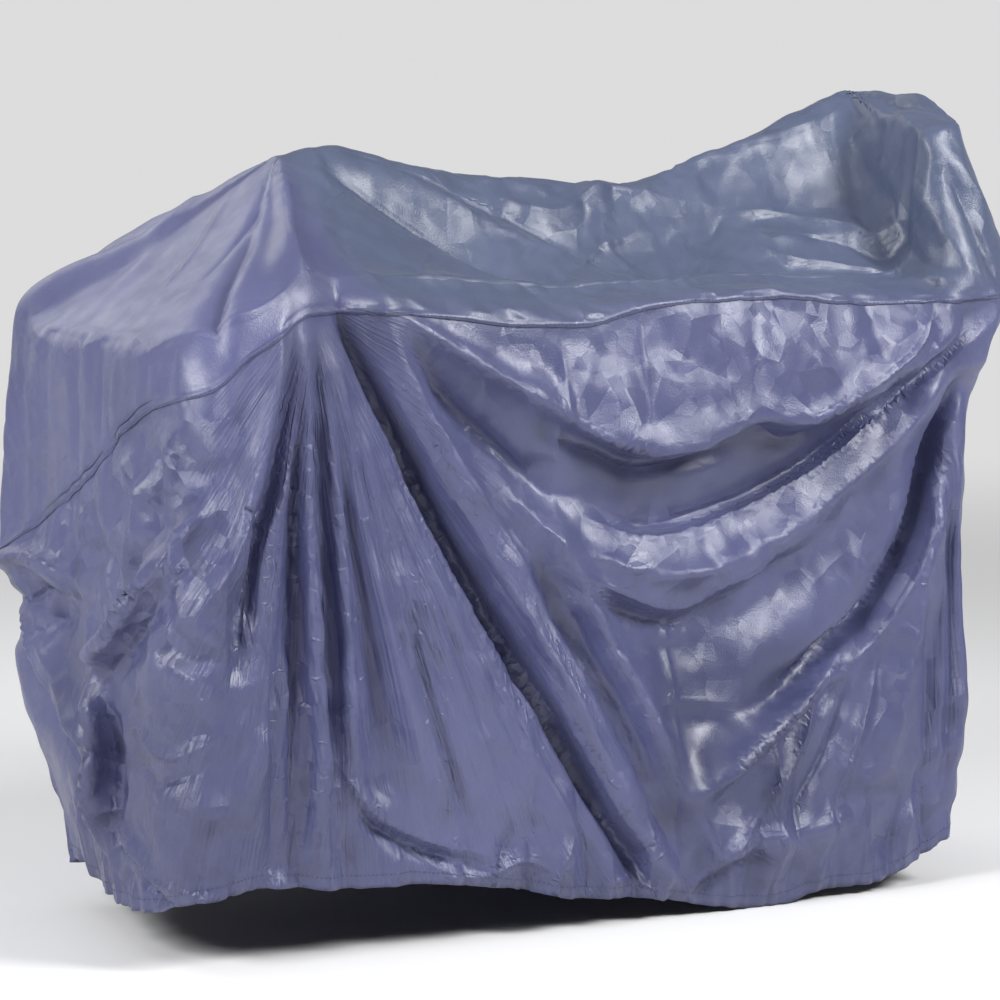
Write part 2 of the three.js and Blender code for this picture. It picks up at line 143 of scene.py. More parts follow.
SECTIONS = tuple(
    Section(*row)
    for row in (
        ("near front corner", 20, 0, 4, 104, 15, 36, 45, 12, 8, 735, 8, 785, 2, 822, -12, -363, 0),
        ("near front arc", 80, 90, 4, 115, 0, 20, 12, 5, 4, 770, 4, 826, 0, 872, -20, -363, 0),
        ("below near grip", 130, 210, 4, 100, 0, 12, 2, -5, -2, 800, 0, 855, -4, 903, -34, -363, 0),
        ("near grip", 182, 330, 5, 95, 0, 8, 0, -12, -12, 830, -12, 880, -15, 943, -50, -363, 0),
        ("behind near grip", 260, 470, 5, 76, 5, 15, 5, -10, -8, 800, -8, 881, -8, 928, -65, -265, 8),
        ("near tiller", 385, 600, 4, 48, 8, 20, 8, -5, -2, 770, 0, 872, 0, 922, -72, -140, 15),
        ("ahead of near arm", 500, 690, 3, 40, 0, 22, 10, 0, 8, 745, 18, 860, 4, 909, -78, -30, 25),
        ("near arm front", 590, 760, 3, 26, 0, 25, 10, 0, 6, 718, 38, 858, 8, 902, -80, 70, 20),
        ("near arm dip", 680, 830, 3, 12, 0, 22, 8, -4, 0, 690, 48, 876, 10, 900, -80, 160, 25),
        ("near arm middle", 800, 930, 3, 0, 0, 18, 6, -6, -2, 705, 46, 888, 8, 903, -82, 280, 30),
        ("near arm rear", 920, 1010, 3, 16, 0, 16, 5, -6, 0, 712, 46, 890, 6, 906, -82, 390, 35),
        ("near seat side", 1060, 1100, 3, 18, 0, 15, 5, -4, 6, 745, 42, 879, 6, 904, -82, 490, 35),
        ("near seat back", 1180, 1190, 2, 44, 0, 15, 6, -2, 14, 800, 40, 877, 10, 905, -80, 570, 20),
        ("near sleeve", 1250, 1250, 2, 76, -5, 14, 2, 6, 30, 830, 50, 880, 45, 1000, -52, 605, 0),
        ("near rear corner", 1290, 1290, 2, 84, -6, 13, 0, 8, 45, 840, 65, 885, 65, 1105, -50, 620, 0),
        ("rear near", 1345, 1345, 3, 85, -12, 12, 0, 12, 45, 830, 70, 880, 85, 1130, 16, 620, 0),
        ("rear near shoulder", 1450, 1450, 2, 80, -22, 8, 3, 12, 40, 825, 60, 875, 75, 1174, 18, 620, 0),
        ("rear middle", 1580, 1580, 4, 60, -25, 10, 5, 12, 32, 820, 45, 870, 60, 1168, 20, 620, 0),
        ("rear far", 1820, 1820, 2, 60, -20, 10, 0, 10, 30, 815, 45, 870, 60, 1085, 0, 620, 0),
        ("far rear corner", 1875, 1875, 4, 45, -10, 15, 5, 5, 24, 800, 40, 866, 45, 1020, -45, 620, 0),
        ("far seat side", 1960, 1960, 9, 35, 0, 15, 5, -2, 8, 760, 32, 850, 10, 905, -75, 570, 0),
        ("far arm rear", 2180, 2170, 10, 30, 0, 15, 5, -5, 4, 715, 38, 820, 6, 900, -80, 390, 0),
        ("far arm front", 2480, 2440, 9, 30, 0, 18, 5, -5, 0, 690, 26, 780, 0, 898, -78, 100, 0),
        ("far tiller", 2720, 2640, 7, 40, 0, 16, 5, -5, 0, 620, 5, 730, 0, 915, -70, -130, 0),
        ("far grip", 2978, 2920, 4, 55, -15, 5, 0, -5, -2, 520, 0, 640, -5, 955, -38, -363, 0),
        ("far front arc", 3080, 3060, 5, 60, -55, -30, -8, 5, 5, 440, 5, 560, 5, 893, -14, -363, 0),
        ("far front corner", 3150, 3150, 3, 78, -85, -58, -22, 8, 12, 400, 12, 500, 10, 864, 14, -363, 0),
        ("front far", 3230, 3230, 4, 80, -62, -42, -12, 10, 14, 430, 15, 545, 8, 808, 4, -363, 0),
        ("front middle", 3460, 3460, 4, 62, -14, 8, 18, 12, 12, 600, 12, 655, 8, 812, 0, -363, 0),
        ("front near", 3640, 3640, 3, 72, 18, 32, 40, 20, 10, 700, 10, 755, 5, 816, 0, -363, 0),
    )
)

# The crest runs along the middle of the cover, over the console, the well and the seat back
CREST = np.array(
    [(-363, 1082), (-290, 1095), (-145, 1070), (5, 1051), (212, 1043), (355, 1079), (538, 1150), (620, 1180)],
    float,
)

SIDE_FOLDS = (
    Fold("corner pleat", 42, 20, (130, 850, 85, 680, 5, 475)),
    Fold("groove beside corner pleat", 38, -16, (147, 850, 110, 640, 50, 420)),
    Fold("second pleat", 42, 18, (164, 855, 131, 657, 80, 380, 75, 250)),
    Fold("groove of second pleat", 40, -20, (168, 850, 152, 640, 135, 420, 130, 160)),
    Fold("long thin pleat", 36, 26, (172, 840, 168, 629, 171, 300, 168, 150)),
    Fold("groove of long thin pleat", 38, -20, (190, 850, 195, 600, 198, 220)),
    Fold("third pleat", 40, 18, (205, 800, 222, 560, 224, 280)),
    Fold("groove of third pleat", 42, -16, (220, 800, 248, 540, 268, 230)),
    Fold("fourth pleat", 46, 20, (228, 800, 272, 540, 315, 330, 350, 200)),
    Fold("deep groove", 52, -44, (226, 890, 277, 771, 370, 591, 465, 420, 579, 243, 700, 80)),
    Fold("crest over deep groove", 48, 22, (270, 880, 345, 740, 455, 560, 565, 380, 690, 190)),
    Fold("slanting ridge", 44, 20, (290, 880, 400, 815, 455, 786, 555, 735)),
    Fold("hollow under slanting ridge", 60, -24, (345, 800, 455, 690, 540, 620)),
    Fold("left arm of the vee", 50, 30, (470, 640, 562, 525, 640, 395, 695, 291, 746, 185)),
    Fold("groove by left arm", 40, -22, (520, 500, 590, 370, 670, 230, 740, 110)),
    Fold("lower pleat", 40, 18, (520, 380, 600, 260, 690, 130, 765, 40)),
    Fold("right arm of the vee", 52, 34, (775, 180, 849, 235, 954, 305, 1045, 372)),
    Fold("hollow in the vee", 120, -20, (770, 260, 790, 400), FoldForm.ROUND),
    Fold("swag", 62, 34, (1235, 800, 1150, 700, 1020, 600, 830, 510, 690, 505, 560, 560)),
    Fold("hollow over swag", 62, -16, (1090, 690, 930, 610, 760, 585, 620, 620), FoldForm.ROUND),
    Fold("hollow under swag", 58, -18, (1010, 510, 800, 405, 640, 420), FoldForm.ROUND),
    Fold("crevice under arm", 44, -30, (1255, 880, 1235, 810, 1170, 745, 1090, 680)),
    Fold("long crevice", 50, -40, (1240, 740, 1209, 660, 1164, 532, 1090, 429, 1000, 350, 892, 290)),
    Fold("pleat behind long crevice", 44, 22, (1225, 620, 1185, 460, 1150, 330, 1110, 180)),
    Fold("rear pleat", 38, 14, (1262, 780, 1258, 500, 1250, 150)),
    Fold("low crease", 60, 16, (790, 130, 900, 90, 1010, 110)),
    Fold("nose", 56, 28, (-610, 500, -480, 518, -345, 500)),
    Fold("hollow under nose", 50, -20, (-600, 420, -460, 425, -360, 450)),
    Fold("front swag", 44, 18, (-190, 690, -110, 640, -140, 520)),
    Fold("tip", 50, 32, (-255, 400, -165, 440, -75, 510, -10, 620)),
    Fold("upright fold", 42, 24, (-235, 380, -228, 290, -268, 150)),
    Fold("groove by upright fold", 44, -22, (-175, 340, -190, 240, -215, 150)),
    Fold("corner tip", 42, 18, (12, 640, -12, 560, -5, 470)),
    Fold("front diagonal", 50, 20, (-530, 450, -375, 330, -265, 270)),
    Fold("hollow under front diagonal", 50, -18, (-500, 330, -400, 240, -340, 150)),
    Fold("far pipe", 40, 10, (-565, 720, -567, 520)),
    Fold("front pipe", 38, 10, (-500, 720, -504, 540)),
    Fold("far grip pleat", 52, 22, (-790, 600, -860, 330, -900, 60)),
    Fold("far grip front pleat", 46, 18, (-755, 600, -735, 340, -725, 90)),
    Fold("far grip long pleat", 56, 22, (-830, 620, -965, 350, -1070, 70)),
    Fold("far grip groove", 50, -22, (-810, 600, -905, 340, -985, 80)),
    Fold("far swag", 64, 28, (1930, 760, 2080, 600, 2300, 500, 2520, 560)),
    Fold("hollow over far swag", 66, -20, (2060, 680, 2300, 600, 2480, 630), FoldForm.ROUND),
    Fold("far low pleat", 52, 18, (2060, 430, 2110, 60)),
    Fold("far low groove", 50, -18, (2200, 400, 2225, 80)),
    Fold("far wide pleat", 60, 22, (2330, 420, 2330, 60)),
    Fold("far rear pleat", 46, 16, (1950, 620, 1980, 80)),
    Fold("rear first pleat", 50, 20, (1400, 780, 1395, 400, 1385, 100)),
    Fold("rear first groove", 48, -18, (1475, 760, 1485, 400, 1490, 100)),
    Fold("rear middle pleat", 52, 20, (1570, 760, 1590, 420, 1560, 90)),
    Fold("rear second groove", 48, -18, (1690, 780, 1700, 400, 1725, 90)),
    Fold("rear far pleat", 48, 18, (1790, 780, 1795, 400, 1815, 100)),
)

TOP_FOLDS = (
    Fold("valley behind console", 60, -16, (-320, -40, -230, -75, -130, -130, -40, -200)),
    Fold("ridge over valley", 50, 10, (-250, -20, -120, -60, 20, -120)),
    Fold("seat side crease", 56, 16, (610, -180, 480, -150, 330, -120)),
    Fold("hollow before seat", 90, -14, (150, -170, 260, -120), FoldForm.ROUND),
    Fold("far valley", 60, -14, (-300, 50, -180, 110, -60, 190)),
    Fold("far seat crease", 56, 14, (600, 160, 470, 140, 330, 110)),
    Fold("front slope crease", 44, 7, (-590, 90, -480, 120, -400, 150)),
)


def monotone_curve(xs: Array, ys: Array, at: Array) -> Array:
    """Reads a monotone cubic through knots, which never overshoots between two of them.

    Args:
        xs: places of the knots, rising along the first axis, one column for each reading or one for all.
        ys: values at the knots, shaped as xs.
        at: the places to read.

    Returns:
        The value at each place.
    """
    widths = np.diff(xs, axis=0)
    slopes = np.diff(ys, axis=0) / widths
    before, after = slopes[:-1], slopes[1:]
    weight_before = 2 * widths[1:] + widths[:-1]
    weight_after = widths[1:] + 2 * widths[:-1]
    rising = before * after > 0
    safe_before = np.where(rising, before, 1.0)
    safe_after = np.where(rising, after, 1.0)
    inner = (weight_before + weight_after) / (weight_before / safe_before + weight_after / safe_after)
    tangents = np.concatenate([slopes[:1], np.where(rising, inner, 0.0), slopes[-1:]])
    index = (at[None] > xs[1:-1]).sum(0)[None]

    def pick(rows: Array, offset: int) -> Array:
        """The rows' value at each reading's knot, or at the next one."""
        return np.take_along_axis(np.broadcast_to(rows, (len(rows), len(at))), index + offset, 0)[0]

    width = pick(widths, 0)
    t = np.clip((at - pick(xs, 0)) / width, 0, 1)
    t2, t3 = t * t, t * t * t
    start = (2 * t3 - 3 * t2 + 1) * pick(ys, 0) + (t3 - 2 * t2 + t) * width * pick(tangents, 0)
    return start + (3 * t2 - 2 * t3) * pick(ys, 1) + (t3 - t2) * width * pick(tangents, 1)


def smooth_step(value: Array, low: float | Array, high: float | Array) -> Array:
    """0 below low, 1 above high and a smooth rise between them."""
    t = np.clip((value - low) / (high - low), 0, 1)
    return t * t * (3 - 2 * t)


def unit(rows: Array, least: float = TINY) -> Array:
    """Rows brought to length 1, but for those shorter than the least."""
    return rows / np.maximum(np.linalg.norm(rows, axis=1), least)[:, None]


def on_chart(around: Array) -> Array:
    """Distances round the outline, brought into the one lap that the chart covers."""
    return (around - CHART_START) % OUTLINE_LENGTH + CHART_START


def fold_path(points: tuple[float, ...], steps: int = 24) -> Array:
    """Follows a centripetal Catmull-Rom curve through a fold's points.

    Args:
        points: first and second coordinates in turn.
        steps: straight steps in all.

    Returns:
        The path's points, one more than its steps.
    """
    knots = np.array(points, float).reshape(-1, 2)
    knots = np.vstack([2 * knots[0] - knots[1], knots, 2 * knots[-1] - knots[-2]])
    spans = len(knots) - 3
    place = np.linspace(0, spans, steps + 1)
    span = np.minimum(place.astype(int), spans - 1)
    t = (place - span)[:, None]
    p0, p1, p2, p3 = (knots[span + k] for k in range(4))
    d0, d1, d2 = (np.sqrt(np.linalg.norm(b - a, axis=1))[:, None] for a, b in ((p0, p1), (p1, p2), (p2, p3)))
    m1 = ((p1 - p0) / d0 - (p2 - p0) / (d0 + d1) + (p2 - p1) / d1) * d1
    m2 = ((p2 - p1) / d1 - (p3 - p1) / (d1 + d2) + (p3 - p2) / d2) * d1
    return p1 + m1 * t + (3 * (p2 - p1) - 2 * m1 - m2) * t**2 + (2 * (p1 - p2) + m1 + m2) * t**3


@dataclass(frozen=True)
class FoldPlace:
    """Where the points near a fold lie from it: numbers, signed gap, path direction and end taper."""

    numbers: Array
    gap: Array
    along: Array
    ends: Array


def fold_place(fold: Fold, a: Array, b: Array, blunt: float, reach: float) -> FoldPlace | None:
    """Places points by a fold.

    Args:
        fold: the fold.
        a: first coordinate of each point.
        b: second coordinate of each point.
        blunt: the share of its height that a fold has at its ends.
        reach: how far round it points are placed.

    Returns:
        How the points within reach lie, or None where there are none.
    """
    path = fold_path(fold.points)
    low, high = path.min(0) - reach, path.max(0) + reach
    inside = np.flatnonzero((a > low[0]) & (a < high[0]) & (b > low[1]) & (b < high[1]))
    if not len(inside):
        return None
    start, step = path[:-1], np.diff(path, axis=0)
    offset = np.stack([a[inside], b[inside]], 1)[:, None] - start
    t = np.clip((offset * step).sum(2) / (step * step).sum(1), 0, 1)
    off = offset - t[..., None] * step
    distance = np.linalg.norm(off, axis=2)
    nearest = distance.argmin(1)
    rows = np.arange(len(inside))
    place = (nearest + t[rows, nearest]) / len(step)
    ends = np.clip(blunt + np.minimum(place, 1 - place) / END_TAPER, 0, 1)
    along = step[nearest] / np.linalg.norm(step[nearest], axis=1)[:, None]
    side = along[:, 0] * off[rows, nearest, 1] - along[:, 1] * off[rows, nearest, 0]
    gap = np.where(side < 0, -1, 1) * distance[rows, nearest]
    return FoldPlace(inside, gap, along, ends)


def fold_shifts(folds: tuple[Fold, ...], a: Array, b: Array, blunt: float = 0.5) -> Array:
    """Sums how many folds move the points of their face.

    Args:
        folds: the folds.
        a: first coordinate of each point.
        b: second coordinate of each point.
        blunt: the share of its height that a fold has at its ends.

    Returns:
        The height at each point, and the shift along the first and second coordinates.
    """
    total = np.zeros((len(a), 3))
    for fold in folds:
        found = fold_place(fold, a, b, blunt, fold.width)
        if found is None:
            continue
        u = np.minimum(np.abs(found.gap) / fold.width, 1)
        round_form = (1 - u * u) ** 2
        crisp_form = 0.45 * round_form + 0.55 * (1 - u) ** 2
        across = round_form if fold.form is FoldForm.ROUND else crisp_form
        total[found.numbers, 0] += fold.rise * across * found.ends
        leaning = fold.lean * across * found.ends**2
        total[found.numbers, 1] -= found.along[:, 1] * leaning
        total[found.numbers, 2] += found.along[:, 0] * leaning
    return total


def crease_lines(folds: tuple[Fold, ...], a: Array, b: Array, blunt: float, reach: float = 11.0) -> Array:
    """Where each point lies from the nearest fold's line, for creases finer than the mesh.

    Args:
        folds: the folds.
        a: first coordinate of each point.
        b: second coordinate of each point.
        blunt: the share of its height that a fold has at its ends.
        reach: the distance at which a fold's share has faded out.

    Returns:
        The signed distance from the line and the line's share, above 0 on a ridge.
    """
    total = np.column_stack([np.full(len(a), 2 * reach), np.zeros(len(a))])
    for fold in folds:
        found = fold_place(fold, a, b, blunt, 2 * reach)
        if found is None:
            continue
        closer = np.abs(found.gap) < np.abs(total[found.numbers, 0])
        numbers = found.numbers[closer]
        share = smooth_step(-np.abs(found.gap), -reach, -reach / 2) * found.ends
        share *= np.clip(fold.rise / FULL_LINE_RISE, -1, 1)
        total[numbers, 0] = found.gap[closer]
        total[numbers, 1] = share[closer]
    return total


def fold_heights(folds: tuple[Fold, ...], a: Array, b: Array) -> Array:
    """The height alone, of what fold_shifts gives."""
    return fold_shifts(folds, a, b)[:, 0]


@dataclass
class Spots:
    """Points of the form, with where each lies on it, all in millimetres.

    chart holds the distance round the outline and the height of a point of the sides, or of the
    seam under a point of the top. above is the distance over the cloth from the seam: below 0 on
    the skirt.
    """

    points: Array
    chart: Array
    above: Array
    plan: Array


@dataclass
class CoverForm:
    """The surface in which the cover hangs, as sections round an outline with folds on them."""

    sections: tuple[Section, ...] = SECTIONS
    side_folds: tuple[Fold, ...] = SIDE_FOLDS
    top_folds: tuple[Fold, ...] = TOP_FOLDS
    starts: Array = field(init=False)
    count: int = field(init=False)

    def __post_init__(self) -> None:
        """Counts the columns before each section."""
        steps = [section.steps for section in self.sections]
        self.starts = np.concatenate([[0], np.cumsum(steps)])
        self.count = int(self.starts[-1])

    def column_of(self, name: str) -> int:
        """The column at which a section stands."""
        names = [section.name for section in self.sections]
        return int(self.starts[names.index(name)])

    def fields(self, columns: Array) -> dict[str, Array]:
        """Reads every size of the sections at any columns.

        Args:
            columns: places in the count of columns.

        Returns:
            The sizes by name, each with one value for each column.
        """
        total = len(self.sections)
        wrapped = np.arange(-3, total + 3)
        laps = wrapped // total
        knots = self.starts[wrapped % total] + laps * self.count
        found = {}
        for name in Section.__dataclass_fields__:
            if name in ("name", "steps"):
                continue
            values = np.array([getattr(self.sections[i % total], name) for i in wrapped], float)
            if name in ("around", "foot"):
                values = values + laps * OUTLINE_LENGTH
            found[name] = monotone_curve(knots[:, None].astype(float), values[:, None], columns)
        return found

    def outline_at(self, distance: Array) -> tuple[Array, Array]:
        """Places on the outline.

        Args:
            distance: distance round it from the near front corner.

        Returns:
            The points and the outward directions, each with x and y.
        """
        length, width = REAR_X - FRONT_X, 2 * HALF_WIDTH
        corners = np.array(
            [(FRONT_X, -HALF_WIDTH), (REAR_X, -HALF_WIDTH), (REAR_X, HALF_WIDTH), (FRONT_X, HALF_WIDTH)]
        )
        along_sides = np.array([(1, 0), (0, 1), (-1, 0), (0, -1)], float)
        sizes = np.array([length, width, length, width])
        starts = np.concatenate([[0], np.cumsum(sizes)[:-1]])
        wrapped = distance % OUTLINE_LENGTH
        side = np.searchsorted(starts, wrapped, side="right") - 1
        along = wrapped - starts[side]
        size = sizes[side]
        turn_before = np.maximum(0, 1 - along / CORNER_RADIUS)
        turn_after = np.maximum(0, 1 - (size - along) / CORNER_RADIUS)
        angle = (turn_after - turn_before) * math.pi / 4
        straight = np.clip(along, CORNER_RADIUS, size - CORNER_RADIUS)[:, None]
        way = along_sides[side]
        inward = np.stack([-way[:, 1], way[:, 0]], 1)
        outward = -inward * np.cos(angle)[:, None] + way * np.sin(angle)[:, None]
        points = corners[side] + way * straight + inward * CORNER_RADIUS + outward * CORNER_RADIUS
        return points, outward

    def skirt(self, columns: Array, shares: Array) -> Spots:
        """Points of the skirt.

        Args:
            columns: the column of each point.
            shares: its height, from 0 at the hem to 1 at the seam.

        Returns:
            The points and where they lie.
        """
        sizes = self.fields(columns)
        hem_z, seam_z, lip_z = sizes["hem_z"], sizes["seam_z"], sizes["lip_z"]
        span = lip_z - hem_z
        levels = [hem_z + share * span for share in LEVEL_SHARES]
        heights = np.stack([*levels, lip_z - TUCK_DEPTH, lip_z, seam_z])
        names = ("hem", "low", "middle", "waist", "tuck", "lip", "seam")
        z = hem_z + shares * (seam_z - hem_z)
        around = sizes["around"] + (sizes["foot"] - sizes["around"]) * (1 - shares)
        base, outward = self.outline_at(around)
        chart = on_chart(around)
        out = monotone_curve(heights, np.stack([sizes[name] for name in names]), z)
        out = out + fold_heights(self.side_folds, chart, z)
        plan = base + outward * out[:, None]
        points = np.column_stack([plan, z])
        return Spots(points, np.column_stack([chart, z]), z - seam_z, plan)

    def crest_height(self, x: Array) -> Array:
        """The crest's height at places along the cover."""
        return monotone_curve(CREST[:, :1], CREST[:, 1:], x)

    def top_knots(self, sizes: dict[str, Array], crest_x: Array) -> tuple[Array, Array, Array]:
        """The edge, the sinking middle and the crest of lines over the top."""
        base, outward = self.outline_at(sizes["around"])
        edge = np.column_stack([base + outward * sizes["edge"][:, None], sizes["edge_z"]])
        crest = np.column_stack([crest_x, np.zeros(len(crest_x)), self.crest_height(crest_x)])
        middle = (edge + crest) / 2
        middle[:, 2] -= sizes["sag"]
        return edge, middle, crest

    def top_line(self, columns: Array) -> tuple[Array, Array]:
        """The knots of each column's line over the top.

        Args:
            columns: the columns.

        Returns:
            The six knots of each line, and how far along the line each knot lies.
        """
        near_last = self.column_of("near rear corner")
        far_first = self.column_of("far rear corner")
        wrapped = columns % self.count
        opposite = far_first + near_last - wrapped
        on_far = (wrapped >= far_first) & (wrapped <= far_first + near_last)
        paired = on_far | (wrapped <= near_last)
        sizes, others = self.fields(wrapped), self.fields(np.where(paired, opposite, wrapped))
        crest_x = np.where(on_far, others["crest_x"], sizes["crest_x"])
        crest_x = np.clip(crest_x, CREST[0, 0], CREST[-1, 0])
        edge, middle, crest = self.top_knots(sizes, crest_x)
        beyond = self.top_knots(others, crest_x)[1]
        back_x = crest_x - REAR_ROUNDING
        rear = np.column_stack([back_x, np.zeros(len(back_x)), self.crest_height(back_x)])
        beyond = np.where((paired & (crest_x < CREST[-1, 0] - CREST_MARGIN))[:, None], beyond, rear)
        beyond = np.where((crest_x <= CREST[0, 0] + CREST_MARGIN)[:, None], 2 * crest - middle, beyond)
        ones = np.ones(len(columns))
        below = self.skirt(wrapped, ones - 1 / SKIRT_ROWS).points
        seam = self.skirt(wrapped, ones).points
        knots = np.stack([below, seam, edge, middle, crest, beyond])
        runs = np.linalg.norm(np.diff(knots, axis=0), axis=2)
        lengths = np.concatenate([np.zeros((1, len(columns))), np.cumsum(runs, 0)])
        return knots, lengths

    def top(self, columns: Array) -> TopLines:
        """The lines of any columns over the top."""
        knots, lengths = self.top_line(columns)
        chart = self.skirt(columns % self.count, np.ones(len(columns))).chart
        return TopLines(self.top_folds, knots, lengths, chart)


@dataclass
class TopLines:
    """Columns' lines over the top, from the seam to the crest."""

    folds: tuple[Fold, ...]
    knots: Array
    lengths: Array
    chart: Array

    def reach(self) -> Array:
        """How far it is from the seam to the crest on each line."""
        return self.lengths[4] - self.lengths[1]

    def at(self, depths: Array | float) -> Spots:
        """Points of the lines.

        Args:
            depths: distance up each line from the seam.

        Returns:
            The points and where they lie.
        """
        depths = np.broadcast_to(depths, self.lengths.shape[1:]).astype(float)
        place = self.lengths[1] + depths
        points = np.stack([monotone_curve(self.lengths, self.knots[:, :, k], place) for k in range(3)], 1)
        over_top = smooth_step(place, self.lengths[1], self.lengths[2])
        points[:, 2] += over_top * fold_heights(self.folds, points[:, 0], points[:, 1])
        return Spots(points, self.chart, depths, points[:, :2].copy())

    def unfolded(self, depths: Array | float) -> Array:
        """Where points lie in a plane in which every line is straight and full length."""
        way = self.knots[1, :, :2] - self.knots[4, :, :2]
        way = way / np.linalg.norm(way, axis=1)[:, None]
        return self.knots[4, :, :2] + way * np.reshape(self.reach() - depths, (-1, 1))


@dataclass
class ClothMesh:
    """The cover's cloth as one mesh, with where each of its points lies on the form."""

    spots: Spots
    quads: Array
    triangles: Array
    lines: Array = field(default_factory=lambda: np.zeros((0, 2)))

    def corners(self) -> list[tuple[int, ...]]:
        """All faces, four-sided ones first."""
        return [tuple(map(int, f)) for f in self.quads] + [tuple(map(int, f)) for f in self.triangles]

    def all_triangles(self) -> Array:
        """Every face as triangles."""
        q = self.quads
        return np.concatenate([q[:, [0, 1, 2]], q[:, [0, 2, 3]], self.triangles])

    def normals(self) -> Array:
        """The outward direction at each point, from all faces round it."""
        points = self.spots.points
        tri = self.all_triangles()
        across = np.cross(points[tri[:, 1]] - points[tri[:, 0]], points[tri[:, 2]] - points[tri[:, 0]])
        total = np.zeros_like(points)
        for corner in range(3):
            np.add.at(total, tri[:, corner], across)
        return unit(total)

    def face_frames(self) -> tuple[Array, Array, Array]:
        """Every face's direction, area and middle, four-sided ones first."""
        p, q, t = self.spots.points, self.quads, self.triangles
        of_quads = np.cross(p[q[:, 2]] - p[q[:, 0]], p[q[:, 3]] - p[q[:, 1]])
        of_triangles = np.cross(p[t[:, 1]] - p[t[:, 0]], p[t[:, 2]] - p[t[:, 0]])
        across = np.concatenate([of_quads, of_triangles])
        size = np.linalg.norm(across, axis=1)
        middles = np.concatenate([p[q].mean(1), p[t].mean(1)])
        return across / np.maximum(size, TINY)[:, None], size / 2, middles

    def sides(self) -> Array:
        """The two points of every side of every face, lower number first."""
        found = [self.quads[:, [k, (k + 1) % 4]] for k in range(4)]
        found += [self.triangles[:, [k, (k + 1) % 3]] for k in range(3)]
        return np.sort(np.concatenate(found), 1)

    def face_pairs(self) -> Array:
        """The numbers of the two faces on each edge that has two."""
        quads, faces = len(self.quads), len(self.quads) + len(self.triangles)
        owners = np.concatenate([np.tile(np.arange(quads), 4), np.tile(np.arange(quads, faces), 3)])
        ends = self.sides()
        order = np.lexsort((ends[:, 1], ends[:, 0]))
        ends, owners = ends[order], owners[order]
        same = np.flatnonzero((ends[1:] == ends[:-1]).all(1))
        return np.stack([owners[same], owners[same + 1]], 1)

    def rings(self, start: Array, count: int) -> Array:
        """Follows the skirt's columns away from a ring at its hem or seam.

        Args:
            start: the numbers of the first ring's points.
            count: how many more rings are wanted.

        Returns:
            The numbers of the points, a row for each ring, in order round the cover.
        """
        ring = start[np.argsort(self.spots.chart[start, 0])]
        found, done = [ring], np.zeros(len(self.spots.points), bool)
        for _ in range(count):
            here = np.zeros_like(done)
            here[ring] = True
            done |= here
            following = np.zeros(len(done), int)
            for turn in (1, -1):
                after = np.roll(self.quads, -turn, axis=1)
                hit = here[self.quads] & ~done[after]
                following[self.quads[hit]] = after[hit]
            ring = following[ring]
            found.append(ring)
        return np.stack(found)

    def seam(self) -> Array:
        """The numbers of the points on the seam."""
        return np.intersect1d(self.quads, self.triangles)

    def hem(self) -> Array:
        """The numbers of the points on the hem."""
        edge = np.flatnonzero(np.bincount(self.quads.ravel(), minlength=len(self.spots.points)) == 2)
        return np.setdiff1d(edge, self.seam())

    def refined(self) -> ClothMesh:
        """A copy with every face cut in four, its new points on a smooth curve between the old ones."""
        points, normals = self.spots.points, self.normals()
        edges, owner = np.unique(self.sides(), axis=0, return_inverse=True)
        a, b = edges.T
        way = points[b] - points[a]
        lift_a = (way * normals[a]).sum(1)[:, None] * normals[a]
        lift_b = (way * normals[b]).sum(1)[:, None] * normals[b]
        middles = (points[a] + points[b]) / 2 - (lift_a - lift_b) / 8
        quads, triangles = len(self.quads), len(self.triangles)
        owner = owner.reshape(-1) + len(points)
        q_mid = owner[: 4 * quads].reshape(4, quads).T
        t_mid = owner[4 * quads :].reshape(3, triangles).T
        centre = np.arange(quads) + len(points) + len(edges)
        first = self.quads
        centres = middles[q_mid - len(points)].sum(1) / 2 - points[first].sum(1) / 4
        t = self.triangles
        cut_quads = [np.stack([first[:, k], q_mid[:, k], centre, q_mid[:, k - 1]], 1) for k in range(4)]
        cut_triangles = [np.stack([t[:, k], t_mid[:, k], t_mid[:, k - 1]], 1) for k in range(3)]

        def spread(values: Array, turn: float = 0.0) -> Array:
            """Values at old points, edge middles and face centres, on a scale that may turn round."""

            def mean(index: Array) -> Array:
                """The mean over each row of point numbers."""
                found = values[index]
                if turn:
                    found = found[:, :1] + (found - found[:, :1] + turn / 2) % turn - turn / 2
                return found.mean(1)

            return np.concatenate([values, mean(edges), mean(first)])

        around, height = self.spots.chart.T
        chart = np.column_stack([spread(around, OUTLINE_LENGTH), spread(height)])
        plan = np.column_stack([spread(self.spots.plan[:, 0]), spread(self.spots.plan[:, 1])])
        spots = Spots(np.concatenate([points, middles, centres]), chart, spread(self.spots.above), plan)
        return ClothMesh(spots, np.concatenate(cut_quads), np.concatenate([*cut_triangles, t_mid]))


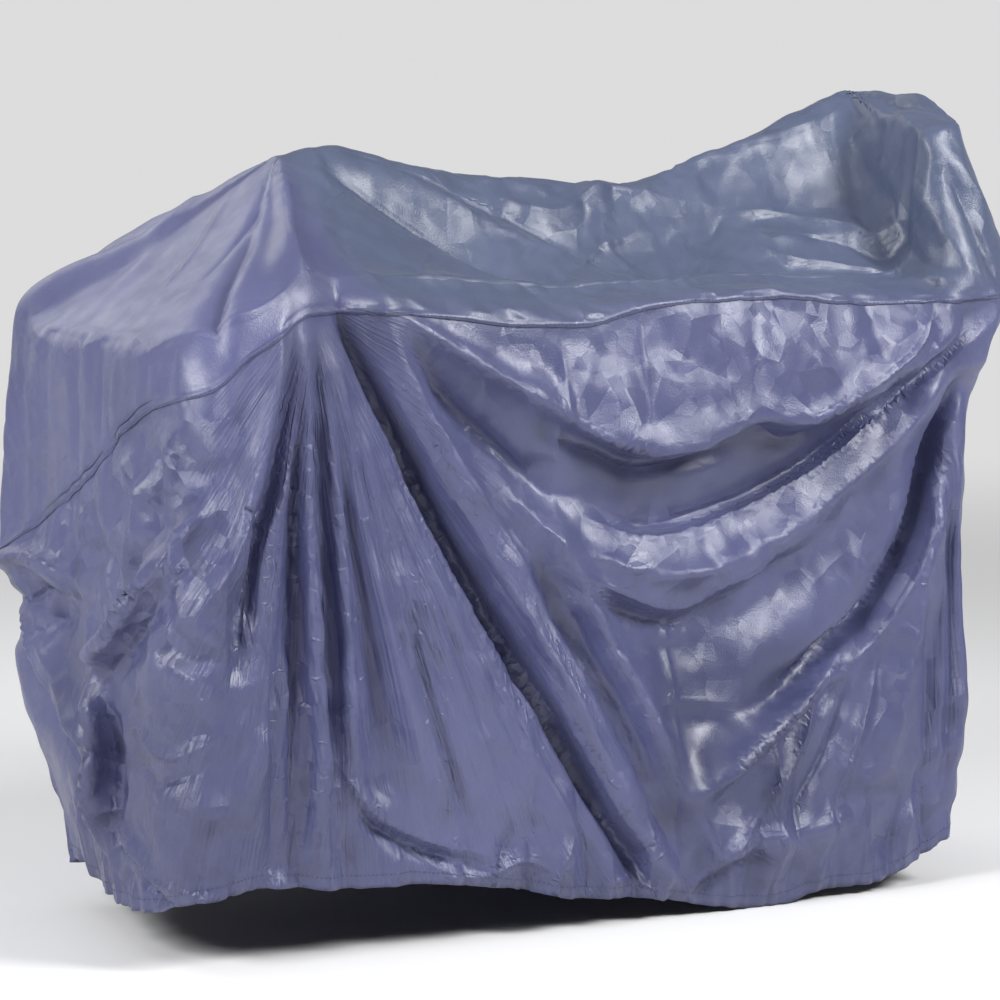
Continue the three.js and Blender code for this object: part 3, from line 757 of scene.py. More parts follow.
@dataclass
class ClothMaker:
    """Lays an even mesh on the form: four-sided faces on the skirt, triangles on the top."""

    form: CoverForm
    near_step: float = 12.2
    far_step: float = 29.0
    near_from: float = -470.0
    near_to: float = 1420.0
    border: float = 60.0
    skirt_readings: int = 4000
    ring_readings: int = 3000
    crest_readings: int = 1500
    rows: int = 55
    top_step: float = 12.3

    def skirt_columns(self) -> Array:
        """Columns closer together on the sides that are seen best."""
        fine = np.linspace(0, self.form.count, self.skirt_readings)
        sizes = self.form.fields(fine)
        middle = (sizes["around"] + sizes["foot"]) / 2
        chart = on_chart(middle)
        near = smooth_step(chart, self.near_from - self.border, self.near_from)
        near *= smooth_step(-chart, -self.near_to - self.border, -self.near_to)
        step = self.far_step + (self.near_step - self.far_step) * near
        progress = np.concatenate([[0], np.cumsum(np.diff(middle) / step[:-1])])
        total = round(progress[-1])
        return np.interp(np.arange(total) * progress[-1] / total, progress, fine)

    def ring(self, fine: Array, lines: TopLines, depth: float) -> Array:
        """Finds columns for an even ring of points at one distance from the seam.

        Args:
            fine: closely spaced columns, all the way round.
            lines: their lines over the top.
            depth: the ring's distance from the seam.

        Returns:
            The ring's columns, evenly spaced over the cloth.
        """
        reach = lines.reach() > depth + 0.65 * self.top_step
        if not reach.any():
            return np.zeros(0)
        start = 0 if reach.all() else int(np.flatnonzero(~reach)[0])
        order = np.roll(np.arange(len(fine)), -start)
        unrolled = fine[order] + np.where(order < start, self.form.count, 0)
        points = lines.at(depth).points[order]
        inside = reach[order]
        ends = np.flatnonzero(np.diff(np.concatenate([[0], inside.astype(int), [0]])))
        offset = 0.5 * (round(depth / self.top_step) % 2)
        found = []
        for first, last in zip(ends[::2], ends[1::2]):
            gaps = np.linalg.norm(np.diff(points[first:last], axis=0), axis=1)
            run = np.concatenate([[0], np.cumsum(gaps)])
            count = max(1, round(run[-1] / self.top_step))
            places = (np.arange(count) + offset) * run[-1] / count
            found.append(np.interp(places, run, unrolled[first:last]))
        return np.concatenate(found) % self.form.count

    def crest_columns(self) -> Array:
        """Columns whose lines end evenly spaced along the crest, from its front end to its rear end."""
        near_last = self.form.column_of("near rear corner")
        fine = np.linspace(self.form.column_of("near grip"), near_last, self.crest_readings)
        crest_x = self.form.fields(fine)["crest_x"]
        total = round((CREST[-1, 0] - CREST[0, 0]) / self.top_step)
        wanted = np.linspace(CREST[0, 0], CREST[-1, 0], total + 1)
        return np.interp(wanted, crest_x, fine)

    def inner_points(self) -> tuple[Spots, Array]:
        """Points all over the top but its seam, and where they lie in the unfolded plane."""
        fine = np.linspace(0, self.form.count, self.ring_readings)[:-1]
        lines = self.form.top(fine)
        columns, depths = [], []
        for depth in np.arange(self.top_step, lines.reach().max(), self.top_step):
            columns.append(self.ring(fine, lines, float(depth)))
            depths.append(np.full(len(columns[-1]), depth))
        crest = self.crest_columns()
        lines = self.form.top(np.concatenate([*columns, crest]))
        depths = np.concatenate([*depths, lines.reach()[-len(crest) :]])
        return lines.at(depths), lines.unfolded(depths)

    def make(self) -> ClothMesh:
        """Meshes the whole cover."""
        columns = self.skirt_columns()
        count = len(columns)
        shares = np.linspace(0, 1, self.rows + 1)
        skirt = self.form.skirt(np.tile(columns, self.rows + 1), np.repeat(shares, count))
        row, column = np.meshgrid(np.arange(self.rows), np.arange(count), indexing="ij")
        a = (row * count + column).ravel()
        b = (row * count + (column + 1) % count).ravel()
        quads = np.stack([a, b, b + count, a + count], 1)

        inner, inner_plane = self.inner_points()
        plane = np.concatenate([self.form.top(columns).unfolded(0.0), inner_plane])
        seam_line = [(k, (k + 1) % count) for k in range(count)]
        made = geometry.delaunay_2d_cdt([Vector(p) for p in plane.tolist()], seam_line, [], 1, 1e-5, True)
        source = np.array([ids[0] for ids in made[3]])
        triangles = source[np.array([list(face) for face in made[2]])]
        outside = (triangles < count).all(1)
        triangles = triangles[~outside] + self.rows * count
        names = Spots.__dataclass_fields__
        joined = (np.concatenate([getattr(skirt, name), getattr(inner, name)]) for name in names)
        return ClothMesh(Spots(*joined), quads, triangles)


@dataclass(frozen=True)
class Patch:
    """A soft-edged part of the cover where the cloth lies in its own way.

    On the sides the limits are distance round the outline and height, on the top x and y. growth is
    how much too large the cloth is there, hold how fast it is held to the form, crumple the height
    of its facets, and shade the share of its tone that it keeps under painted shade, which darkens it
    towards a deep blue in a hollow.
    """

    name: str
    low_a: float
    high_a: float
    low_b: float
    high_b: float
    border: float
    growth: float
    hold: float
    crumple: float
    shade: float = 1.0

    def weight(self, a: Array, b: Array) -> Array:
        """1 inside the patch, 0 beyond its border."""
        half = self.border / 2
        share = np.ones(len(a))
        for value, low, high in ((a, self.low_a, self.high_a), (b, self.low_b, self.high_b)):
            share *= smooth_step(value, low - half, low + half)
            share *= smooth_step(-value, -high - half, -high + half)
        return share


# Where a patch's last number is below 1 it is painted shade: the cloth's colour is darkened under the arm, in
# the vee, at the front and towards the hem.
SIDE_PATCHES = (
    Patch("all round", -3000, 3000, -500, 1500, 10, 0.014, 0.28, 2.2),
    Patch("pleats from the grip", 50, 330, 360, 900, 90, 0.005, 0.42, 0.5),
    Patch("foot of the pleats", 50, 330, 110, 330, 90, 0.014, 0.32, 3.0, 0.85),
    Patch("broad panel", 300, 560, 100, 620, 90, 0.012, 0.34, 2.6),
    Patch("arm panel", 560, 1230, 715, 930, 60, 0.014, 0.26, 3.6),
    Patch("shade under the arm", 580, 1120, 590, 700, 50, 0.005, 0.40, 0.7, 0.62),
    Patch("swag", 620, 1230, 470, 590, 50, 0.014, 0.26, 3.4),
    Patch("in the vee", 700, 1010, 120, 400, 80, 0.010, 0.30, 1.4, 0.45),
    Patch("right of the vee", 1000, 1280, 60, 420, 90, 0.018, 0.26, 3.0, 0.75),
    Patch("rear corner", 1180, 1330, 300, 820, 60, 0.012, 0.32, 1.5),
    Patch("front near corner", -420, 60, 60, 420, 90, 0.020, 0.26, 4.5, 0.6),
    Patch("front crumples", -560, 60, 420, 760, 90, 0.022, 0.26, 6.5, 0.85),
    Patch("hem", -3000, 3000, -500, 100, 70, 0.030, 0.34, 3.0, 0.75),
)

# A last number below 1 is painted shade on the cloth's colour.
TOP_PATCHES = (
    Patch("all over", -2000, 2000, -1000, 1000, 10, 0.012, 0.34, 1.7),
    Patch("front slope", -2000, -372, -1000, 1000, 60, 0.002, 0.60, 0.4),
    Patch("front face", -2000, -630, -1000, 1000, 14, 0.012, 0.36, 2.8, 0.9),
    Patch("beside the console", -340, -120, -260, 260, 80, 0.010, 0.40, 1.6),
    Patch("well", -120, 420, -200, 200, 90, 0.016, 0.30, 2.4),
    Patch("seat back", 430, 800, -280, 280, 80, 0.014, 0.34, 1.8),
)

# Narrow folds and creases that only the cloth itself shows
SHARP_SIDE_FOLDS = (
    Fold("first pleat edge", 20, 9, (131, 849, 99, 738, 53, 581, -2, 476)),
    Fold("second pleat edge", 18, 11, (164, 855, 131, 657, 95, 547, 77, 379)),
    Fold("groove beside it", 17, -10, (150, 850, 112, 650, 76, 555, 52, 400)),
    Fold("long pleat edge", 16, 12, (168, 835, 165, 629, 173, 292, 167, 143)),
    Fold("left groove of long pleat", 15, -10, (157, 830, 148, 629, 155, 300, 149, 170)),
    Fold("right groove of long pleat", 15, -11, (182, 830, 182, 629, 190, 300, 187, 170)),
    Fold("fourth pleat edge", 16, 9, (196, 820, 215, 626, 221, 475, 223, 288)),
    Fold("groove of fourth pleat", 16, -9, (206, 780, 232, 600, 240, 440, 244, 260)),
    Fold("fifth pleat edge", 18, 10, (222, 800, 246, 625, 276, 493, 307, 350, 330, 240)),
    Fold("groove of fifth pleat", 17, -8, (232, 790, 262, 610, 296, 470, 335, 320)),
    Fold("lip of deep groove", 24, 14,
         (212, 885, 260, 762, 312, 652, 350, 580, 447, 408, 563, 232, 650, 100), lean=4),
    Fold("bottom of deep groove", 24, -24,
         (230, 880, 283, 771, 338, 661, 377, 591, 472, 420, 586, 243, 668, 108)),
    Fold("first stripe over groove", 17, 9, (262, 860, 330, 730, 430, 570, 540, 390, 640, 220)),
    Fold("second stripe over groove", 16, 7, (292, 850, 370, 710, 480, 540, 590, 350, 690, 180)),
    Fold("edge of slanting ridge", 20, 10, (294, 875, 355, 842, 455, 786, 555, 731)),
    Fold("trough of slanting ridge", 20, -10, (354, 787, 455, 699, 532, 633)),
    Fold("lip of arm panel", 32, 17,
         (500, 766, 545, 744, 610, 720, 681, 691, 734, 697, 815, 709, 866, 735), lean=-20),
    Fold("rear lip of arm panel", 26, 11,
         (866, 735, 941, 712, 1027, 745, 1133, 799, 1169, 838, 1212, 905), lean=-7),
    Fold("under the lip", 26, -15,
         (560, 696, 615, 680, 681, 652, 734, 656, 815, 669, 866, 694, 941, 676, 1027, 706)),
    Fold("storage crease", 13, 4, (556, 860, 553, 590)),
    Fold("second storage crease", 13, 3.5, (684, 880, 684, 700)),
    Fold("third storage crease", 13, 3, (752, 480, 758, 215)),
    Fold("crosswise storage crease", 12, 2.5, (672, 295, 752, 312, 860, 306)),
    Fold("edge of swag", 26, 15,
         (1290, 861, 1208, 766, 1112, 700, 990, 617, 862, 567, 716, 540, 636, 567, 583, 590), lean=-8),
    Fold("over edge of swag", 28, -9, (1150, 756, 1100, 722, 985, 643, 862, 593, 716, 568, 640, 592)),
    Fold("low edge of swag", 22, 9, (542, 521, 636, 484, 760, 450, 835, 481, 918, 518, 1003, 559)),
    Fold("under swag", 24, -10, (560, 492, 640, 458, 765, 424, 840, 455, 925, 492, 1005, 530)),
    Fold("bottom of crevice", 28, -12, (1251, 863, 1221, 796, 1170, 757, 1112, 700)),
    Fold("bottom of long crevice", 26, -24,
         (1245, 751, 1212, 673, 1167, 532, 1093, 427, 1030, 384, 948, 326, 892, 294)),
    Fold("lip of long crevice", 24, 13,
         (1222, 745, 1190, 670, 1143, 545, 1072, 446, 1012, 404, 936, 348), lean=4),
    Fold("rear edge of long crevice", 18, 9, (1262, 730, 1232, 640, 1190, 500, 1125, 400, 1060, 350)),
    Fold("left edge of the vee", 22, 11, (562, 525, 628, 409, 695, 291, 746, 179)),
    Fold("beside the vee", 22, -11, (540, 510, 604, 394, 670, 276, 722, 160)),
    Fold("right edge of the vee", 24, 14, (781, 176, 849, 235, 954, 299, 1051, 372), lean=-8),
    Fold("under right edge of the vee", 24, -16, (800, 158, 866, 212, 968, 274, 1066, 346)),
    Fold("low narrow pleat", 18, 9, (520, 370, 600, 250, 690, 125, 750, 50)),
    Fold("beside low narrow pleat", 18, -9, (505, 350, 583, 235, 672, 112, 728, 45)),
    Fold("puffed edge over hem", 28, 10, (318, 150, 370, 112, 430, 96, 500, 112, 560, 84)),
    Fold("hollow over hem", 28, -14, (372, 76, 440, 60, 520, 72)),
    Fold("edge of nose", 24, 13, (-650, 500, -560, 505, -480, 520, -400, 515, -334, 505), lean=6),
    Fold("under nose", 26, -14, (-620, 462, -540, 452, -450, 470, -350, 472)),
    Fold("ess fold", 22, 12, (-240, 690, -193, 662, -116, 627, -130, 570, -143, 511)),
    Fold("beside ess fold", 22, -11, (-230, 655, -160, 628, -158, 560, -170, 505)),
    Fold("edge of tip", 22, 15, (-258, 394, -173, 431, -119, 467, -70, 517, -27, 566, -2, 632), lean=-10),
    Fold("under tip", 26, -16, (-225, 372, -160, 402, -100, 440, -50, 490, -8, 540)),
    Fold("second tip", 18, 10, (-7, 471, -18, 569, -6, 632)),
    Fold("edge of upright fold", 20, 15, (-258, 398, -240, 340, -228, 290, -246, 220, -268, 150), lean=6),
    Fold("beside upright fold", 24, -20, (-222, 372, -203, 330, -198, 280, -214, 210, -232, 150)),
    Fold("edge of front diagonal", 22, 12, (-590, 470, -540, 420, -460, 360, -370, 315, -280, 270)),
    Fold("under front diagonal", 26, -14, (-560, 400, -460, 326, -380, 286, -300, 245)),
    Fold("far pipe edge", 18, 7, (-566, 745, -568, 520)),
    Fold("front pipe edge", 18, 7, (-504, 745, -507, 545)),
    Fold("front near pleat", 18, 8, (-60, 700, -50, 600, -95, 520)),
    Fold("corner crumple", 18, 8, (30, 330, -30, 300, -90, 330, -150, 300)),
    Fold("second corner crumple", 18, -8, (20, 290, -50, 262, -120, 285)),
    Fold("edge of lower panel", 22, 11, (200, 285, 252, 213, 305, 179, 367, 153, 450, 122), lean=-5),
    Fold("under lower panel", 24, -13, (225, 232, 262, 186, 315, 152, 375, 126, 440, 100)),
    Fold("scalloped edge", 20, 10, (309, 520, 317, 375, 358, 239, 390, 160)),
    Fold("beside scalloped edge", 18, -9, (326, 505, 336, 375, 376, 244, 408, 165)),
    Fold("upright edge", 20, 9, (128, 450, 124, 300, 134, 130)),
    Fold("beside upright edge", 19, -9, (108, 450, 104, 300, 112, 130)),
    Fold("short pucker", 15, 7, (62, 610, 68, 500, 60, 420)),
    Fold("second short pucker", 15, -7, (46, 560, 48, 460, 34, 370)),
    Fold("foot of upright fold", 22, 12, (-260, 205, -170, 178, -90, 140, 20, 104), lean=-6),
    Fold("under foot", 24, -14, (-235, 168, -160, 142, -90, 106, 10, 76)),
    Fold("under the vee", 20, 10, (770, 150, 820, 96, 900, 110, 960, 84)),
    Fold("ray from groove", 18, 9, (764, 36, 815, 84, 905, 150)),
    Fold("second ray from groove", 18, -9, (772, 30, 850, 70, 930, 78)),
    Fold("left ray from groove", 18, 8, (742, 34, 690, 64, 620, 66)),
    Fold("rear near pleat", 16, 8, (1208, 620, 1222, 400, 1205, 130)),
    Fold("second rear near pleat", 16, 8, (1243, 700, 1250, 420, 1240, 130)),
    Fold("between rear pleats", 15, -8, (1228, 660, 1236, 410, 1222, 130)),
    Fold("beside rear pleats", 16, -8, (1190, 470, 1196, 300, 1180, 130)),
    Fold("bright fold by vee", 20, 10, (1010, 330, 960, 230, 900, 150)),
    Fold("second fold by vee", 20, -9, (1050, 330, 1000, 220, 940, 130)),
    Fold("third fold by vee", 20, 9, (1110, 360, 1060, 230, 1010, 120)),
)


def hem_pleats(
    step: float = 44.0, rise: float = 11.0, width: float = 31.0, head: float = 230.0
) -> tuple[Fold, ...]:
    """Makes short upright pleats over the hem, all the way round, each a little different.

    Args:
        step: the distance between two pleats.
        rise: their middling height, which is outward and inward in turn.
        width: their middling width.
        head: how high up their tops are, in the middle.

    Returns:
        The pleats.
    """
    random = np.random.default_rng(SEED + 2)
    folds = []
    for number, around in enumerate(np.arange(CHART_START + 40, CHART_START + OUTLINE_LENGTH - 40, step)):
        shift, lean, top, share = random.uniform(-1, 1, 4)
        foot = around + 15 * shift
        height = (rise if number % 2 else -rise) * (0.75 + 0.4 * share) * (0.5 if -560 < around < 60 else 1)
        path = (foot, 0, foot + 12 * lean, 90, foot + 50 * lean, head + 100 * top)
        folds.append(Fold("hem pleat", width + 6 * share, height, path))
    return tuple(folds)


def fan_pleats(step: float = 25.0, rise: float = 5.0, width: float = 15.0) -> tuple[Fold, ...]:
    """Makes thin pleats that run out from the near grip between the broad ones, each a little different.

    Args:
        step: the distance between two pleats, low down.
        rise: their middling height, which is outward and inward in turn.
        width: their middling width.

    Returns:
        The pleats.
    """
    random = np.random.default_rng(SEED + 3)
    folds = []
    for number, foot in enumerate(np.arange(20, 690, step)):
        shift, start, end, share, bend = random.uniform(-1, 1, 5)
        high, low = 700 + 60 * start, 230 + 110 * end
        way = (foot + 8 * shift - GRIP[0]) / (GRIP[1] - 110)
        points = []
        for height in (high, (high + low) / 2, low):
            points += [GRIP[0] + way * (GRIP[1] - height), height]
        points[2] += 9 * bend
        height = (rise if number % 2 else -rise) * (1 + 0.35 * share)
        folds.append(Fold("fan pleat", width + 4 * share, height, tuple(points)))
    return tuple(folds)


SHARP_TOP_FOLDS = (
    Fold("handlebar ridge", 24, 8, (-366, -10, -395, -100, -440, -200, -462, -268)),
    Fold("far handlebar ridge", 28, 7, (-366, 10, -395, 100, -440, 200, -462, 268)),
    Fold("front edge", 28, 10, (-622, 255, -636, 200, -641, 100, -641, -100, -636, -190, -618, -240)),
    Fold("near edge of slope", 24, 8, (-618, -240, -570, -276, -505, -276, -470, -266)),
    Fold("slope crease", 16, 3, (-600, -60, -500, -20, -410, 40)),
    Fold("slope second crease", 16, -3, (-590, -130, -500, -120, -420, -80)),
    Fold("near arm ridge", 24, 9,
         (-440, -252, -250, -235, -100, -228, 60, -221, 250, -218, 430, -218, 560, -222)),
    Fold("far arm ridge", 28, 9, (-440, 252, -250, 235, -100, 228, 60, 221, 250, 218, 430, 218, 560, 222)),
    Fold("valley core", 26, -9, (-320, -40, -230, -75, -130, -130, -40, -200)),
    Fold("second valley", 22, -7, (-300, -10, -150, -40, 0, -80, 120, -170)),
    Fold("well ridge", 22, 8, (-60, -40, 60, -60, 180, -20, 300, -60)),
    Fold("well crease", 20, 7, (20, -190, 100, -110, 210, -70)),
    Fold("seat fan", 22, 8, (604, -240, 500, -200, 400, -170, 320, -130)),
    Fold("second seat fan", 22, 7, (612, -225, 520, -140, 420, -90, 330, -80)),
    Fold("third seat fan", 22, -7, (606, -232, 510, -170, 410, -130)),
    Fold("crest line", 20, 6, (600, -30, 520, -30, 400, -10, 250, 10)),
    Fold("far seat fan", 26, 7, (600, 200, 500, 160, 380, 140)),
    Fold("far well crease", 26, -7, (-100, 150, 60, 90, 220, 120)),
)

# On the steep rear of the top, by distance round the outline and height over the seam
SHARP_REAR_FOLDS = (
    Fold("shoulder crease", 20, 10, (1252, -10, 1256, 90, 1268, 225)),
    Fold("shoulder trough", 24, -15, (1288, -10, 1286, 90, 1296, 190)),
    Fold("second shoulder crease", 20, 10, (1322, -10, 1316, 100, 1308, 210)),
    Fold("rear shoulder trough", 26, -10, (1372, -10, 1362, 110, 1340, 230)),
    Fold("rear upper pleat", 30, 10, (1440, -10, 1450, 120, 1460, 260)),
    Fold("rear upper trough", 30, -10, (1540, -10, 1545, 140, 1540, 250)),
    Fold("rear second upper pleat", 30, 9, (1640, -10, 1635, 130, 1610, 250)),
    Fold("rear third upper pleat", 30, 9, (1760, -10, 1770, 120, 1790, 220)),
    Fold("far shoulder trough", 28, -10, (1850, -10, 1846, 100, 1840, 180)),
    Fold("arm fan", 18, 7, (1238, 20, 1200, 60, 1140, 74)),
)

SUPPORTS = (
    Fold("near grip", 46, 0.9, (-470, -262, -440, -262)),
    Fold("far grip", 46, 0.9, (-470, 262, -440, 262)),
    Fold("handlebar", 34, 0.8, (-450, -250, -380, -60, -363, 0, -380, 60, -450, 250)),
    Fold("console", 46, 0.7, (-363, 0, -250, 0)),
    Fold("front edge", 26, 0.8, (-636, 262, -640, 100, -640, -100, -625, -262)),
    Fold("near arm", 26, 0.7, (-40, -222, 430, -222)),
    Fold("far arm", 26, 0.7, (-40, 222, 430, 222)),
    Fold("seat back top", 40, 0.8, (618, -250, 622, 0, 620, 230)),
    Fold("near shoulder", 34, 0.8, (600, -245, 612, -270)),
)


@dataclass(frozen=True)
class Facets:
    """Flat facets with sharp edges between them, as in crumpled thin cloth."""

    size: float
    turn: float
    stretch: float
    seed: int
    table: int = 61

    def heights(self, a: Array, b: Array) -> Array:
        """Heights from -1 to 1 at points of a face.

        Args:
            a: first coordinate of each point.
            b: second coordinate of each point.

        Returns:
            The height at each point.
        """
        random = np.random.default_rng(self.seed)
        corners = random.uniform(-1, 1, (self.table, self.table))
        u = (a * math.cos(self.turn) + b * math.sin(self.turn)) / self.size
        v = (b * math.cos(self.turn) - a * math.sin(self.turn)) / (self.size * self.stretch)
        phases = random.uniform(0, 2 * math.pi, 6)
        u_bent = u + 0.28 * np.sin(1.9 * v + phases[0]) + 0.22 * np.sin(3.1 * v - 1.3 * u + phases[1])
        v_bent = v + 0.28 * np.sin(2.2 * u + phases[2]) + 0.22 * np.sin(2.7 * u + 1.7 * v + phases[3])
        skew = 0.366 * (u_bent + v_bent)
        u_bent, v_bent = u_bent + skew, v_bent + skew
        i, j = np.floor(u_bent).astype(int), np.floor(v_bent).astype(int)
        x, y = u_bent - i, v_bent - j
        i, j, i_next, j_next = (k % self.table for k in (i, j, i + 1, j + 1))
        near, far = corners[i, j], corners[i_next, j_next]
        first, second = corners[i_next, j], corners[i, j_next]
        below = near + x * (first - near) + y * (far - first)
        above = near + y * (second - near) + x * (far - second)
        return np.where(x > y, below, above)


LARGE_FACETS = Facets(size=62, turn=0.5, stretch=1.25, seed=SEED)
SMALL_FACETS = Facets(size=27, turn=-0.35, stretch=1.5, seed=SEED + 1)


class Graph:
    """A node tree, with short ways to add nodes and to join them."""

    def __init__(self, tree: bpy.types.NodeTree) -> None:
        """Keeps the tree."""
        self.tree = tree

    def fill(self, node: bpy.types.Node, inputs: dict[str | int, object]) -> None:
        """Joins the inputs for which sockets are given, and sets the others to the values given."""
        for name, value in inputs.items():
            if isinstance(value, Socket):
                self.tree.links.new(value, node.inputs[name])
            else:
                node.inputs[name].default_value = value

    def add(
        self, kind: str, inputs: dict[str | int, object], output: str | int = 0, **settings: object
    ) -> Socket:
        """Adds a node.

        Args:
            kind: its type.
            inputs: sockets or values, by the input's name or number.
            output: the wanted output's name or number.
            settings: the node's own settings, by name.

        Returns:
            The wanted output.
        """
        node = self.tree.nodes.new(kind)
        for name, value in settings.items():
            setattr(node, name, value)
        self.fill(node, inputs)
        return node.outputs[output]

    def attribute(self, name: str, output: str = "Fac") -> Socket:
        """One of the mesh's attributes."""
        return self.add("ShaderNodeAttribute", {}, output, attribute_name=name)

    def split(self, vector: Socket) -> bpy.types.NodeOutputs:
        """The three parts of a vector, by name."""
        return self.add("ShaderNodeSeparateXYZ", {"Vector": vector}).node.outputs

    def product(self, first: Socket, second: Socket | float) -> Socket:
        """Two values multiplied."""
        return self.add("ShaderNodeMath", {0: first, 1: second}, operation="MULTIPLY")

    def vector(self, operation: str, *inputs: object) -> Socket:
        """Vectors put through an operation."""
        return self.add("ShaderNodeVectorMath", dict(enumerate(inputs)), operation=operation)

    def noise(self, place: Socket, scale: float, detail: float = 2.0, roughness: float = 0.5) -> Socket:
        """Smooth noise from 0 to 1."""
        inputs = {"Vector": place, "Scale": scale, "Detail": detail, "Roughness": roughness}
        return self.add("ShaderNodeTexNoise", inputs, "Fac")

    def span(self, value: Socket, old: Range, new: Range, form: str = "LINEAR") -> Socket:
        """Stretches values from an old range to a new one."""
        inputs = {"Value": value, "From Min": old[0], "From Max": old[1], "To Min": new[0], "To Max": new[1]}
        return self.add("ShaderNodeMapRange", inputs, interpolation_type=form)

    def mix(self, share: Socket, first: Socket | Colour, second: Socket | Colour) -> Socket:
        """Two colours mixed."""
        return self.add("ShaderNodeMix", {0: share, 6: first, 7: second}, 2, data_type="RGBA")

    def bump(self, height: Socket, strength: float, distance: float, normal: Socket | None = None) -> Socket:
        """A bumped normal, on another one if that is given."""
        inputs = {"Height": height, "Strength": strength, "Distance": distance}
        return self.add("ShaderNodeBump", inputs if normal is None else {**inputs, "Normal": normal})


def new_material(name: str) -> tuple[bpy.types.Material, Graph, bpy.types.Node]:
    """A new material, with its graph and its shader."""
    material = bpy.data.materials.new(name)
    material.use_nodes = True
    return material, Graph(material.node_tree), material.node_tree.nodes["Principled BSDF"]


def new_object(name: str, data: bpy.types.ID) -> bpy.types.Object:
    """A new object in the scene, at the origin."""
    made = bpy.data.objects.new(name, data)
    bpy.context.scene.collection.objects.link(made)
    return made


@dataclass(frozen=True)
class Settling:
    """A short cloth simulation, in which cloth that is too large for the form buckles on it.

    A point's hold draws it back to its place on the form, and its growth is how much larger than the
    form the cloth is there.
    """

    frames: int = 30
    quality: int = 5
    tension: float = 20.0
    shear: float = 8.0
    bending: float = 0.05
    pull: float = 0.35
    damping: float = 2.0
    furthest: float = 30.0
    mass: float = 0.3
    weight_steps: int = 100

    def run(self, cloth: ClothMesh, hold: Array, growth: Array) -> None:
        """Settles a mesh in place.

        Args:
            cloth: the mesh, whose points are moved.
            hold: from 0, free, to 1, held fast, at each point.
            growth: how much larger the cloth is than the form at each point, such as 0.02.
        """
        start = cloth.spots.points.copy()
        mesh = bpy.data.meshes.new("settling")
        mesh.from_pydata((start * MM).tolist(), [], cloth.corners())
        body = new_object("settling", mesh)
        self.weigh(body, "hold", hold)
        most = max(float(growth.max()), 1e-6)
        self.weigh(body, "tight", 1 - growth / most)
        modifier = body.modifiers.new("settling", "CLOTH")
        settings = {
            "quality": self.quality,
            "mass": self.mass,
            "air_damping": self.damping,
            "tension_stiffness": self.tension,
            "compression_stiffness": self.tension,
            "shear_stiffness": self.shear,
            "bending_stiffness": self.bending,
            "vertex_group_mass": "hold",
            "pin_stiffness": 1.0,
            "vertex_group_shrink": "tight",
            "shrink_max": 0.0,
            "shrink_min": -most,
        }
        for name, value in settings.items():
            setattr(modifier.settings, name, value)
        modifier.settings.effector_weights.gravity = self.pull
        modifier.collision_settings.use_collision = False
        modifier.collision_settings.use_self_collision = False
        modifier.point_cache.frame_start = 1
        modifier.point_cache.frame_end = self.frames
        scene = bpy.context.scene
        for step in range(1, self.frames + 1):
            scene.frame_set(step)
        settled = body.evaluated_get(bpy.context.evaluated_depsgraph_get()).data
        found = np.zeros(len(start) * 3, np.float32)
        settled.vertices.foreach_get("co", found)
        moved = found.reshape(-1, 3).astype(float) / MM - start
        distance = np.linalg.norm(moved, axis=1)[:, None]
        moved *= np.minimum(1, self.furthest / np.maximum(distance, TINY))
        cloth.spots.points = start + moved
        bpy.data.objects.remove(body)
        bpy.data.meshes.remove(mesh)
        scene.frame_set(1)
        LOG.info("settled %d points, moved %.1f mm at the most", len(start), float(distance.max()))

    def weigh(self, body: bpy.types.Object, name: str, weights: Array) -> None:
        """Gives an object's points their weights in a new group."""
        group = body.vertex_groups.new(name=name)
        steps = np.round(np.clip(weights, 0, 1) * self.weight_steps).astype(int)
        for step in np.unique(steps):
            group.add(np.flatnonzero(steps == step).tolist(), step / self.weight_steps, "REPLACE")


@dataclass(frozen=True)
class Crisping:
    """Flattens the cloth between its creases and leaves the creases sharp, as in stiff coated cloth.

    Two faces that meet at much more than the angle are not smoothed across.
    """

    angle: float = 0.20
    smoothings: int = 8
    fittings: int = 12

    def run(self, cloth: ClothMesh) -> None:
        """Crisps a mesh in place."""
        pairs = cloth.face_pairs()
        wanted, areas, _ = cloth.face_frames()
        for _ in range(self.smoothings):
            wanted = self.smoothed(wanted, areas, pairs)
        corners = np.concatenate([cloth.quads.ravel(), cloth.triangles.ravel()])
        quads, faces = len(cloth.quads), len(wanted)
        owners = np.concatenate([np.repeat(np.arange(quads), 4), np.repeat(np.arange(quads, faces), 3)])
        points = cloth.spots.points
        counts = np.bincount(corners, minlength=len(points))[:, None]
        for _ in range(self.fittings):
            middles = cloth.face_frames()[2]
            gap = ((middles[owners] - points[corners]) * wanted[owners]).sum(1)[:, None] * wanted[owners]
            points += self.gathered(gap, corners, len(points)) / counts

    def smoothed(self, ways: Array, areas: Array, pairs: Array) -> Array:
        """Directions drawn towards those of neighbours that differ little."""
        first, second = pairs.T
        apart = np.linalg.norm(ways[first] - ways[second], axis=1)
        share = np.exp(-((apart / self.angle) ** 2) / 2)
        total = ways * areas[:, None] * 0.5
        total += self.gathered(ways[second] * (share * areas[second])[:, None], first, len(ways))
        total += self.gathered(ways[first] * (share * areas[first])[:, None], second, len(ways))
        return unit(total)

    def gathered(self, values: Array, numbers: Array, total: int) -> Array:
        """Sums rows of values by number."""
        return np.stack([np.bincount(numbers, values[:, k], total) for k in range(values.shape[1])], 1)


